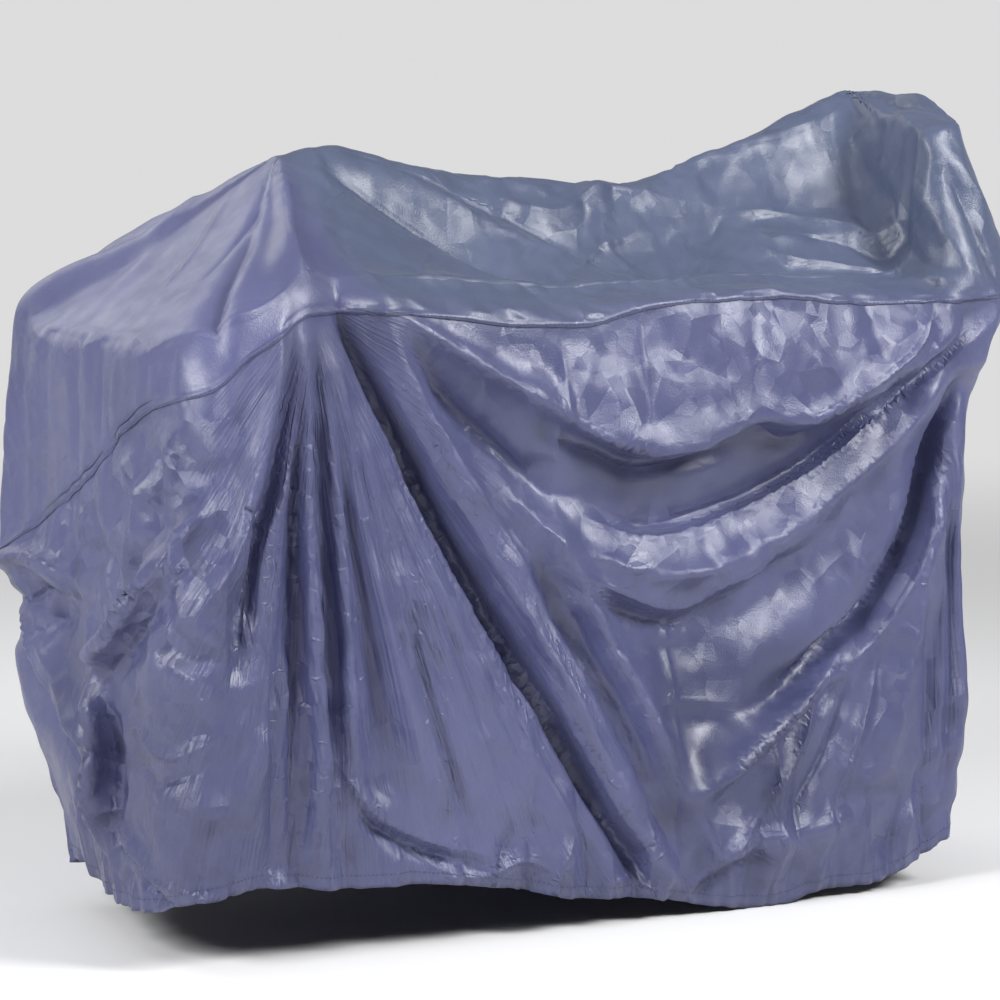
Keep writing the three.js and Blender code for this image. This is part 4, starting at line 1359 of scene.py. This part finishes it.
@dataclass
class CoverCloth:
    """The whole cover's cloth, from the bare form to the settled and creased mesh."""

    form: CoverForm = field(default_factory=CoverForm)
    settling: Settling = Settling()
    crisping: Crisping = Crisping()
    seed_height: float = 1.2
    seed_size: float = 55.0
    seam_reach: float = 22.0
    large_share: float = 1.0
    fine_share: float = 0.42
    gather_pitch: float = 27.0
    gather_height: float = 3.0
    gather_reach: float = 75.0
    first_crumple: float = 0.5
    hidden_width: float = 0.5
    hidden_rise: float = 0.45
    seen: Range = (-650.0, 1330.0)
    seam_fade: float = 10.0
    chart_fade: float = 60.0
    top_offset: float = 3000.0
    hem_readings: int = 1200
    blunt: float = 0.12
    clearance: float = 1.5

    def make(self) -> ClothMesh:
        """Meshes, settles, refines and creases the cloth."""
        cloth = ClothMaker(self.form).make()
        LOG.info("cloth of %d points", len(cloth.spots.points))
        self.push(cloth, self.seed_heights(cloth) + self.first_crumple * self.crumple(cloth, LARGE_FACETS))
        self.settling.run(cloth, self.hold(cloth), self.read(cloth, "growth"))
        cloth = cloth.refined()
        self.crisping.run(cloth)
        facets = self.large_share * self.crumple(cloth, LARGE_FACETS)
        facets += self.fine_share * self.crumple(cloth, SMALL_FACETS)
        self.push(cloth, facets + self.gathers(cloth))
        self.crease(cloth)
        heights = cloth.spots.points[:, 2]
        heights[:] = np.maximum(heights, self.clearance)
        return cloth

    def crease(self, cloth: ClothMesh) -> None:
        """Adds the narrow folds."""
        spots, normals = cloth.spots, cloth.normals()
        hidden = tuple(
            Fold(fold.name, self.hidden_width * fold.width, self.hidden_rise * fold.rise, fold.points)
            for fold in self.form.side_folds
            if fold.form is FoldForm.CRISP and not self.seen[0] < fold.points[0] < self.seen[1]
        )
        pleats = hem_pleats() + fan_pleats()
        below = (spots.above <= 0)[:, None]
        around, height = spots.chart.T
        side = fold_shifts(SHARP_SIDE_FOLDS + hidden, around, height, self.blunt) * below
        side += fold_shifts(pleats, around, height, 0.0) * below
        top = fold_shifts(SHARP_TOP_FOLDS, spots.plan[:, 0], spots.plan[:, 1], self.blunt) * ~below
        rear = fold_shifts(SHARP_REAR_FOLDS, around, spots.above, self.blunt) * ~below
        fade = smooth_step(np.abs(spots.above), 0, self.seam_fade)[:, None]
        sideways = np.column_stack([-normals[:, 1], normals[:, 0], np.zeros(len(normals))])
        sideways = unit(sideways, 1e-6)
        upward = np.cross(normals, -sideways)
        upward *= np.where(upward[:, 2:] < 0, -1, 1)
        lines = crease_lines(SHARP_SIDE_FOLDS + hidden + pleats, around, height, self.blunt)
        top_lines = crease_lines(SHARP_TOP_FOLDS, spots.plan[:, 0], spots.plan[:, 1], self.blunt)
        cloth.lines = np.where(below, lines, top_lines)
        heights = (side[:, :1] + top[:, :1] + rear[:, :1]) * fade
        spots.points += normals * heights + (sideways * side[:, 1:2] + upward * side[:, 2:]) * fade

    def push(self, cloth: ClothMesh, heights: Array) -> None:
        """Moves every point outward by its height."""
        cloth.spots.points += cloth.normals() * heights[:, None]

    def seed_heights(self, cloth: ClothMesh) -> Array:
        """A slight unevenness, so that the cloth has somewhere to buckle."""
        offset = Vector((SEED, 2 * SEED, 3 * SEED))
        found = [noise.noise(Vector(p) / self.seed_size + offset) for p in cloth.spots.points.tolist()]
        return np.array(found) * self.seed_height

    @staticmethod
    def read(cloth: ClothMesh, name: str) -> Array:
        """One of the patches' sizes at each point."""
        spots = cloth.spots
        found = []
        for patches, a, b in (
            (SIDE_PATCHES, spots.chart[:, 0], spots.chart[:, 1]),
            (TOP_PATCHES, spots.plan[:, 0], spots.plan[:, 1]),
        ):
            value = np.zeros(len(a))
            for patch in patches:
                value += patch.weight(a, b) * (getattr(patch, name) - value)
            found.append(value)
        on_top = smooth_step(spots.above, -8, 20)
        return found[0] + on_top * (found[1] - found[0])

    def hold(self, cloth: ClothMesh) -> Array:
        """How fast each point of the cloth is held to the form."""
        held = self.read(cloth, "hold")
        plan = cloth.spots.plan
        on_top = smooth_step(cloth.spots.above, 0, 30)
        for support in SUPPORTS:
            near = np.linalg.norm(plan[:, None] - fold_path(support.points), axis=2).min(1)
            held = np.maximum(held, support.rise * (1 - smooth_step(near, 0, support.width)) * on_top)
        return held

    def crumple(self, cloth: ClothMesh, facets: Facets) -> Array:
        """Facets over the sides and the top, which fade out at the seam."""
        spots = cloth.spots
        side = facets.heights(spots.chart[:, 0], spots.chart[:, 1])
        top = facets.heights(spots.plan[:, 0] + self.top_offset, spots.plan[:, 1])
        off_seam = smooth_step(np.abs(spots.above), 0, self.seam_reach)
        joint = np.minimum(spots.chart[:, 0] - CHART_START, CHART_START + OUTLINE_LENGTH - spots.chart[:, 0])
        side *= smooth_step(joint, 0, self.chart_fade)
        return np.where(spots.above > 0, top, side) * off_seam * self.read(cloth, "crumple")

    def gathers(self, cloth: ClothMesh) -> Array:
        """Small waves where the elastic in the hem gathers the cloth."""
        spots = cloth.spots
        around = spots.chart[:, 0]
        low = 1 - smooth_step(spots.points[:, 2] - self.hem_height(around), 0, self.gather_reach)
        phase = 2 * math.pi * around / self.gather_pitch
        uneven = 0.55 + 0.45 * np.sin(around / 71.0) * np.sin(around / 43.0 + 1.0)
        wave = np.sin(phase + 1.6 * np.sin(around / 37.0)) + 0.4 * np.sin(1.7 * phase + 0.6)
        return np.where(spots.above < 0, self.gather_height * uneven * wave * low * low, 0)

    def hem_height(self, around: Array) -> Array:
        """The hem's height at distances round the outline."""
        fine = np.linspace(0, self.form.count, self.hem_readings)
        sizes = self.form.fields(fine)
        chart = on_chart(sizes["foot"])
        order = np.argsort(chart)
        return np.interp(around, chart[order], sizes["hem_z"][order])


class Tone(Enum):
    """The coated cloth's tones: its own violet and a darker violet, a deep blue painted as shade in its
    hollows, and a teal painted on the top as the cool cast of the sky light.
    """

    VIOLET = (0.085, 0.091, 0.206, 1.0)
    VIOLET_SHADE = (0.067, 0.073, 0.170, 1.0)
    DEEP = (0.022, 0.026, 0.080, 1.0)
    TEAL = (0.080, 0.103, 0.174, 1.0)
    TEAL_SHADE = (0.063, 0.084, 0.148, 1.0)


@dataclass(frozen=True)
class CoatedCloth:
    """Thin nylon with a coat on its inside: satin, crisp and full of small creases.

    facets holds the size and the slope of each layer of flat facets. Sizes are in metres, and a
    scale is how many times a pattern repeats in a metre.
    """

    name: str
    roughness: float = 0.43
    wear: Range = (-0.07, 0.09)
    wear_scale: float = 24.0
    tone_scale: float = 5.0
    specular: float = 0.7
    sheen: float = 0.06
    sheen_roughness: float = 0.4
    coat: float = 0.10
    coat_roughness: float = 0.22
    bend: float = 0.014
    bend_scale: float = 9.0
    facets: tuple[Range, ...] = ((0.058, 0.19), (0.021, 0.11))
    line_width: float = 0.007
    line_height: float = 0.0024
    streak: float = 0.9
    streak_height: float = 0.006
    grain: float = 0.7
    grain_height: float = 0.0008
    grain_scale: float = 420.0

    def make(self) -> bpy.types.Material:
        """Builds the material."""
        material, graph, shader = new_material(self.name)
        place = graph.add("ShaderNodeTexCoord", {}, "Object")
        tone = graph.span(graph.noise(place, self.tone_scale, 4.0, 0.55), (0.35, 0.65), (0, 1))
        violet = graph.mix(tone, Tone.VIOLET_SHADE.value, Tone.VIOLET.value)
        teal = graph.mix(tone, Tone.TEAL_SHADE.value, Tone.TEAL.value)
        # Painted light: the top, and a little of the skirt, is mixed towards teal as the cool cast of the sky
        # light.
        colour = graph.mix(graph.attribute("tint"), violet, teal)
        worn = graph.noise(place, self.wear_scale, 3.0)
        limits = (self.roughness + self.wear[0], self.roughness + self.wear[1])
        inputs = {
            # Painted shade: where the shade attribute is below 1 the colour is darkened towards a deep blue.
            "Base Color": graph.mix(graph.attribute("shade"), Tone.DEEP.value, colour),
            "Roughness": graph.span(worn, (0.3, 0.7), limits),
            "Normal": self.normal(graph, place),
            "Specular IOR Level": self.specular,
            "Sheen Weight": self.sheen,
            "Sheen Roughness": self.sheen_roughness,
            "Coat Weight": self.coat,
            "Coat Roughness": self.coat_roughness,
        }
        graph.fill(shader, inputs)
        return material

    def normal(self, graph: Graph, place: Socket) -> Socket:
        """The normal, with facets, sharp lines, streaks and grain in turn.

        Args:
            graph: the material's graph.
            place: the coordinates of the cloth.

        Returns:
            The normal's socket.
        """
        waves = {"Vector": place, "Scale": self.bend_scale, "Detail": 1.0}
        shift = graph.add("ShaderNodeTexNoise", waves, "Color")
        bent = graph.vector("MULTIPLY_ADD", shift, (2 * self.bend,) * 3, place)
        normal = graph.add("ShaderNodeNewGeometry", {}, "Normal")
        creased = graph.attribute("creased")
        for size, slope in self.facets:
            cells = {"Vector": bent, "Scale": 1 / size, "Randomness": 1.0}
            way = graph.vector("SUBTRACT", graph.add("ShaderNodeTexVoronoi", cells, "Color"), (0.5, 0.5, 0.5))
            tilt = {0: way, "Scale": graph.product(creased, 2 * slope)}
            turned = graph.add("ShaderNodeVectorMath", tilt, operation="SCALE")
            normal = graph.vector("NORMALIZE", graph.vector("ADD", normal, turned))

        line = graph.split(graph.attribute("crease_line", "Vector"))
        gap = graph.add("ShaderNodeMath", {0: line["X"]}, operation="ABSOLUTE")
        tent = graph.product(graph.span(gap, (0, self.line_width), (1, 0)), line["Y"])
        normal = graph.bump(tent, 1.0, self.line_height, normal)

        rays = graph.split(graph.attribute("rays", "Vector"))
        flat = graph.add("ShaderNodeCombineXYZ", {"X": rays["X"], "Y": rays["Y"]})
        streaks = graph.product(graph.noise(flat, 1.0, 3.0, 0.6), rays["Z"])
        normal = graph.bump(streaks, self.streak, self.streak_height, normal)
        grain = graph.noise(place, self.grain_scale, 2.0, 0.6)
        return graph.bump(grain, self.grain, self.grain_height, normal)


class Part(Enum):
    """The two sewn pieces of the cover: its piece name, its CAD node and its slot."""

    SKIRT = ("cover_skirt", "skirt", "coated_cloth")
    TOP = ("cover_top_panel", "top_panel", "coated_cloth_top")

    def __init__(self, piece: str, node: str, slot: str) -> None:
        """Keeps the names."""
        self.piece = piece
        self.node = node
        self.slot = slot


def along_rings(cloth: ClothMesh, rings: Array, distance: float, lift: float) -> Array:
    """Points at a distance along the skirt's columns from the first of some rings.

    Args:
        cloth: the whole cover's cloth.
        rings: the numbers of the points, a row for each ring.
        distance: how far from the first ring.
        lift: how far outward from the cloth.

    Returns:
        The points, in order round the cover.
    """
    points = cloth.spots.points[rings]
    normals = cloth.normals()[rings]
    runs = np.linalg.norm(np.diff(points, axis=0), axis=2)
    runs = np.concatenate([np.zeros((1, rings.shape[1])), np.cumsum(runs, 0)])
    index = np.clip((runs < distance).sum(0) - 1, 0, len(rings) - 2)
    columns = np.arange(rings.shape[1])
    start, end = runs[index, columns], runs[index + 1, columns]
    share = ((distance - start) / (end - start))[:, None]
    base = points[index, columns] * (1 - share) + points[index + 1, columns] * share
    outward = normals[index, columns] * (1 - share) + normals[index + 1, columns] * share
    return base + lift * outward


@dataclass(frozen=True)
class SeamLap:
    """The edge of the top panel, which laps over the skirt and is sewn down in small puckers."""

    width: float = 9.0
    lift: float = 1.5
    pucker: float = 0.5

    def make(self, cloth: ClothMesh) -> tuple[Array, Array]:
        """Lays the lap on the skirt.

        Args:
            cloth: the whole cover's cloth.

        Returns:
            The numbers of the cloth's points that its rings follow, and the points of all but the first.
        """
        rings = cloth.rings(cloth.seam(), 3)
        around = cloth.spots.chart[rings[0], 0]
        uneven = self.pucker * np.sin(around / 2.9) * np.sin(around / 23.0)
        outward = cloth.normals()[rings[1]] * uneven[:, None]
        upper = along_rings(cloth, rings, 0.3 * self.width, self.lift + 0.3)
        lower = along_rings(cloth, rings, self.width, self.lift)
        return rings[:3], np.concatenate([upper - outward, lower + outward])


class StitchRow(Enum):
    """Where thread shows: the piece's name, whether it starts at the seam, its distance and its lift."""

    SEAM = ("cover_seam_stitches", True, 5.6, 1.9)
    HEM = ("cover_hem_stitches", False, 18.0, 0.25)

    def __init__(self, piece: str, at_seam: bool, distance: float, lift: float) -> None:
        """Keeps the sizes."""
        self.piece = piece
        self.at_seam = at_seam
        self.distance = distance
        self.lift = lift


@dataclass(frozen=True)
class Thread:
    """Twisted sewing thread, darker than the cloth."""

    name: str = "sewing thread"
    colour: tuple[float, float, float] = (0.030, 0.033, 0.078)
    tones: Range = (0.6, 1.5)
    roughness: float = 0.55
    twist: float = 0.4
    twist_height: float = 0.0003
    twist_scale: float = 900.0

    def make(self) -> bpy.types.Material:
        """Builds the material."""
        material, graph, shader = new_material(self.name)
        twist = graph.noise(graph.add("ShaderNodeTexCoord", {}, "Object"), self.twist_scale)
        dark, bright = ((*(tone * part for part in self.colour), 1) for tone in self.tones)
        normal = graph.bump(twist, self.twist, self.twist_height)
        colour = graph.mix(twist, dark, bright)
        graph.fill(shader, {"Base Color": colour, "Roughness": self.roughness, "Normal": normal})
        return material


@dataclass(frozen=True)
class Stitching:
    """A row of stitches along a closed path, made by Geometry Nodes."""

    pitch: float = 6.5
    length: float = 4.4
    radius: float = 0.5
    unevenness: float = 0.15
    segments: int = 6
    rings: int = 5
    reach: int = 4

    def build(self, row: StitchRow, cloth: ClothMesh, material: bpy.types.Material) -> bpy.types.Object:
        """Makes the row's object.

        Args:
            row: which row.
            cloth: the whole cover's cloth.
            material: the thread's finish.

        Returns:
            The stitches, as one plain mesh.
        """
        rings = cloth.rings(cloth.seam() if row.at_seam else cloth.hem(), self.reach)
        points = (along_rings(cloth, rings, row.distance, row.lift) - MIDDLE) * MM
        count = len(points)
        mesh = bpy.data.meshes.new(row.piece)
        mesh.from_pydata(points.tolist(), [(k, (k + 1) % count) for k in range(count)], [])
        piece = new_object(row.piece, mesh)
        modifier = piece.modifiers.new("stitches", "NODES")
        modifier.node_group = self.tree(material)
        sizes = {"Pitch": self.pitch, "Length": self.length, "Radius": self.radius}
        for item in modifier.node_group.interface.items_tree:
            if item.name in sizes:
                modifier[item.identifier] = sizes[item.name] * MM
        graph = bpy.context.evaluated_depsgraph_get()
        made = bpy.data.meshes.new_from_object(piece.evaluated_get(graph), depsgraph=graph)
        piece.modifiers.clear()
        piece.data = made
        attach(piece, "root")
        LOG.info("%s: %d faces", piece.name, len(made.polygons))
        return piece

    def tree(self, material: bpy.types.Material) -> bpy.types.NodeTree:
        """Builds the tree, which lays a slim round stitch at every step of the path."""
        tree = bpy.data.node_groups.new("stitches", "GeometryNodeTree")
        tree.interface.new_socket("Path", in_out="INPUT", socket_type="NodeSocketGeometry")
        for name in ("Pitch", "Length", "Radius"):
            tree.interface.new_socket(name, in_out="INPUT", socket_type="NodeSocketFloat")
        tree.interface.new_socket("Stitches", in_out="OUTPUT", socket_type="NodeSocketGeometry")
        graph = Graph(tree)
        given = tree.nodes.new("NodeGroupInput").outputs
        path = graph.add("GeometryNodeMeshToCurve", {"Mesh": given["Path"]})
        path = {"Curve": path, "Length": given["Pitch"]}
        steps = graph.add("GeometryNodeResampleCurve", path, mode="LENGTH")
        ball = {"Segments": self.segments, "Rings": self.rings, "Radius": 1.0}
        ball = {"Geometry": graph.add("GeometryNodeMeshUVSphere", ball)}
        shape = graph.add("GeometryNodeSetShadeSmooth", ball)
        tangent = {"Vector": graph.add("GeometryNodeInputTangent", {})}
        turn = graph.add("FunctionNodeAlignRotationToVector", tangent, axis="Z")
        limits = {2: 0.5 - self.unevenness, 3: 0.5 + self.unevenness / 3, "Seed": SEED}
        uneven = graph.add("FunctionNodeRandomValue", limits, 1, data_type="FLOAT")
        half = graph.product(given["Length"], uneven)
        size = graph.add("ShaderNodeCombineXYZ", {"X": given["Radius"], "Y": given["Radius"], "Z": half})
        copies = {"Points": steps, "Instance": shape, "Rotation": turn, "Scale": size}
        copies = graph.add("GeometryNodeInstanceOnPoints", copies)
        real = graph.add("GeometryNodeRealizeInstances", {"Geometry": copies})
        finished = graph.add("GeometryNodeSetMaterial", {"Geometry": real, "Material": material})
        graph.fill(tree.nodes.new("NodeGroupOutput"), {"Stitches": finished})
        return tree


@dataclass
class ClothPiece:
    """One sewn piece of the cover, cut from the finished cloth."""

    part: Part
    finish: CoatedCloth
    flat: tuple[float, float]
    area: float
    thickness: float = 0.9
    lap: SeamLap = SeamLap()
    least_creased: float = 0.1
    most_creased: float = 1.7
    full_crumple: float = 4.0
    streaks_round: float = 46.0
    streaks_down: float = 0.004
    cool_behind: Range = (-420.0, -330.0)
    cool_skirt: float = 0.1
    cool_top: float = 0.8

    def build(self, cloth: ClothMesh) -> bpy.types.Object:
        """Makes the piece's object and attaches it to the root body.

        Args:
            cloth: the whole cover's cloth.

        Returns:
            The finished object.
        """
        faces = cloth.quads if self.part is Part.SKIRT else cloth.triangles
        used, numbers = np.unique(faces, return_inverse=True)
        corners = numbers.reshape(faces.shape).tolist()
        points = cloth.spots.points[used]
        if self.part is Part.TOP:
            rings, lap = self.lap.make(cloth)
            first = len(used) + np.arange(rings.size).reshape(rings.shape) - rings.shape[1]
            first[0] = np.searchsorted(used, rings[0])
            turned = np.roll(first, -1, axis=1)
            corners += np.stack([first[:-1], first[1:], turned[1:], turned[:-1]], 2).reshape(-1, 4).tolist()
            used = np.concatenate([used, rings[1:].ravel()])
            points = np.concatenate([points, lap])
        mesh = bpy.data.meshes.new(self.part.piece)
        mesh.from_pydata(((points - MIDDLE) * MM).tolist(), [], corners)
        mesh.polygons.foreach_set("use_smooth", np.ones(len(corners), bool))
        self.mark(mesh, cloth, used)
        mesh.materials.append(self.finish.make())
        piece = new_object(self.part.piece, mesh)
        wall = piece.modifiers.new("wall", "SOLIDIFY")
        wall.thickness = self.thickness * MM
        wall.offset = -1
        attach(piece, "root")
        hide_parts(self.part.node)
        LOG.info("%s: %d points", piece.name, len(used))
        return piece

    def mark(self, mesh: bpy.types.Mesh, cloth: ClothMesh, used: Array) -> None:
        """Gives a mesh the attributes that its finish reads.

        Args:
            mesh: the piece's mesh.
            cloth: the whole cover's cloth.
            used: the number in the cloth of each of the mesh's points.
        """
        marks = {
            # Painted light: how much of the sky's cool cast each point gets.
            "tint": self.tint(cloth),
            "creased": self.creased(cloth),
            # Painted shade: the share of its colour that each point keeps.
            "shade": CoverCloth.read(cloth, "shade"),
            "crease_line": np.column_stack([cloth.lines * (MM, 1), np.zeros(len(cloth.lines))]),
            "rays": self.rays(cloth),
        }
        for name, values in marks.items():
            kind, field_name = ("FLOAT", "value") if values.ndim == 1 else ("FLOAT_VECTOR", "vector")
            layer = mesh.attributes.new(name, kind, "POINT")
            layer.data.foreach_set(field_name, values[used].astype(np.float32).ravel())

    def creased(self, cloth: ClothMesh) -> Array:
        """How deeply small creases cover the cloth."""
        crumple = CoverCloth.read(cloth, "crumple") / self.full_crumple
        return np.clip(self.least_creased + crumple, 0, self.most_creased)

    def rays(self, cloth: ClothMesh) -> Array:
        """Coordinates in which noise makes streaks that run out from the near grip, and their share."""
        spots = cloth.spots
        across = spots.chart[:, 0] - GRIP[0]
        down = GRIP[1] - spots.chart[:, 1]
        angle = np.arctan2(across, np.maximum(down, 20))
        reach = np.hypot(across, down)
        fan = 1 - smooth_step(np.abs(across - 0.15 * down), 60 + 0.25 * down, 130 + 0.6 * down)
        fan *= (spots.above < 0) * smooth_step(reach, 30, 120)
        return np.column_stack([angle * self.streaks_round, reach * self.streaks_down, fan])

    def tint(self, cloth: ClothMesh) -> Array:
        """How much painted cool cast of the sky light the cloth gets: most on the top behind the grips, least
        on the front slope.
        """
        behind = smooth_step(cloth.spots.plan[:, 0], *self.cool_behind)
        on_top = smooth_step(cloth.spots.above, -60, 60)
        return behind * (self.cool_skirt + self.cool_top * on_top)


@dataclass(frozen=True)
class SoftLight:
    """A square studio light that faces the cover from its way."""

    name: str
    way: tuple[float, float, float]
    distance: float
    size: float
    power: float
    colour: tuple[float, float, float] = (1.0, 1.0, 1.0)


SOFT_LIGHTS = (
    SoftLight("back", (-0.30, 0.85, 0.62), 5.0, 3.2, 68.0, (0.97, 0.98, 1.0)),
    SoftLight("front high", (0.42, -0.74, 0.62), 5.0, 1.7, 250.0),
    SoftLight("left", (-0.95, -0.35, 0.50), 5.0, 1.7, 200.0),
)


@dataclass
class Studio:
    """Pale floor, soft lights and a camera at the photograph's angle."""

    azimuth: float = -31.0
    elevation: float = 5.5
    distance: float = 5.5
    target: tuple[float, float, float] = (-0.005, 0.00125, 0.58)
    lens: float = 135.2
    sensor: float = 36.0
    sky: float = 0.16
    band: float = 0.72
    band_height: Range = (0.10, 0.30)
    front_share: float = 0.22
    front_turn: Range = (-0.25, 0.25)
    floor: tuple[float, ...] = (0.85, 0.85, 0.8585, 1.0)
    floor_roughness: float = 0.95
    floor_size: float = 30.0
    floor_front: float = 2.2
    fade: Range = (2.2, 8.0)
    overhead: float = 0.45
    overhead_size: float = 70.0

    def build(self) -> None:
        """Sets the stage."""
        self.make_floor()
        self.make_world()
        for light in SOFT_LIGHTS:
            self.make_light(light)
        self.make_overhead()
        self.make_camera()
        bpy.context.scene.view_settings.view_transform = "Standard"

    def make_floor(self) -> None:
        """A plain pale floor, which turns far off into a glow as strong as the band behind it."""
        half, front = self.floor_size, -self.floor_front
        mesh = bpy.data.meshes.new("floor")
        corners = [(-half, front, 0), (half, front, 0), (half, half, 0), (-half, half, 0)]
        mesh.from_pydata(corners, [], [(0, 1, 2, 3)])
        material, graph, shader = new_material("floor")
        graph.fill(shader, {"Base Color": self.floor, "Roughness": self.floor_roughness})
        place = graph.add("ShaderNodeTexCoord", {}, "Object")
        far = graph.add("ShaderNodeVectorMath", {0: place}, "Value", operation="LENGTH")
        share = graph.span(far, self.fade, (0, 1), "SMOOTHSTEP")
        glow = graph.add("ShaderNodeEmission", {"Strength": self.band})
        surface = graph.add("ShaderNodeMixShader", {0: share, 1: shader.outputs["BSDF"], 2: glow})
        graph.fill(material.node_tree.nodes["Material Output"], {"Surface": surface})
        mesh.materials.append(material)
        floor = new_object("floor", mesh)

    def make_world(self) -> None:
        """Dim light from above and in front, and a bright band behind at the height of the floor's edge."""
        world = bpy.data.worlds.new("studio")
        world.use_nodes = True
        graph = Graph(world.node_tree)
        way = graph.split(graph.add("ShaderNodeTexCoord", {}, "Generated"))
        band = graph.span(way["Z"], self.band_height, (self.band, self.sky))
        front = graph.span(way["Y"], self.front_turn, (self.front_share, 1.0))
        light = {"Color": (1.0, 1.0, 1.0, 1.0), "Strength": graph.product(band, front)}
        graph.fill(world.node_tree.nodes["Background"], light)
        bpy.context.scene.world = world

    def make_light(self, soft: SoftLight) -> None:
        """Adds a soft square light that faces the middle of the cover."""
        light = bpy.data.lights.new(soft.name, "AREA")
        light.size = soft.size
        light.energy = soft.power
        light.color = soft.colour
        self.aim(new_object(soft.name, light), Vector(soft.way).normalized(), soft.distance)

    def make_overhead(self) -> None:
        """One wide light from overhead, which also keeps the whole floor pale."""
        light = bpy.data.lights.new("overhead", "SUN")
        light.energy = self.overhead
        light.angle = math.radians(self.overhead_size)
        new_object("overhead", light)

    def make_camera(self) -> None:
        """Places the camera where the photograph was taken from."""
        around, up = math.radians(self.azimuth), math.radians(self.elevation)
        way = Vector((math.sin(around) * math.cos(up), -math.cos(around) * math.cos(up), math.sin(up)))
        camera = new_object("camera", bpy.data.cameras.new("camera"))
        camera.data.lens = self.lens
        camera.data.sensor_width = self.sensor
        self.aim(camera, way, self.distance)
        bpy.context.scene.camera = camera

    def aim(self, piece: bpy.types.Object, way: Vector, distance: float) -> None:
        """Puts a light or camera that way from the target, facing it."""
        piece.location = Vector(self.target) + way * distance
        piece.rotation_euler = way.to_track_quat("Z", "Y").to_euler()


def main() -> None:
    """Builds the cover's pieces in order and sets the stage round them."""
    logging.basicConfig(level=logging.INFO, format="%(name)s: %(message)s")
    cloth = CoverCloth().make()
    ClothPiece(Part.SKIRT, CoatedCloth("coated nylon"), flat=(3.76, 0.86), area=3.02).build(cloth)
    ClothPiece(Part.TOP, CoatedCloth("coated nylon, top"), flat=(1.9, 0.95), area=1.47).build(cloth)
    thread = Thread().make()
    for row in StitchRow:
        Stitching().build(row, cloth, thread)
    Studio().build()


if __name__ == "__main__":
    main()
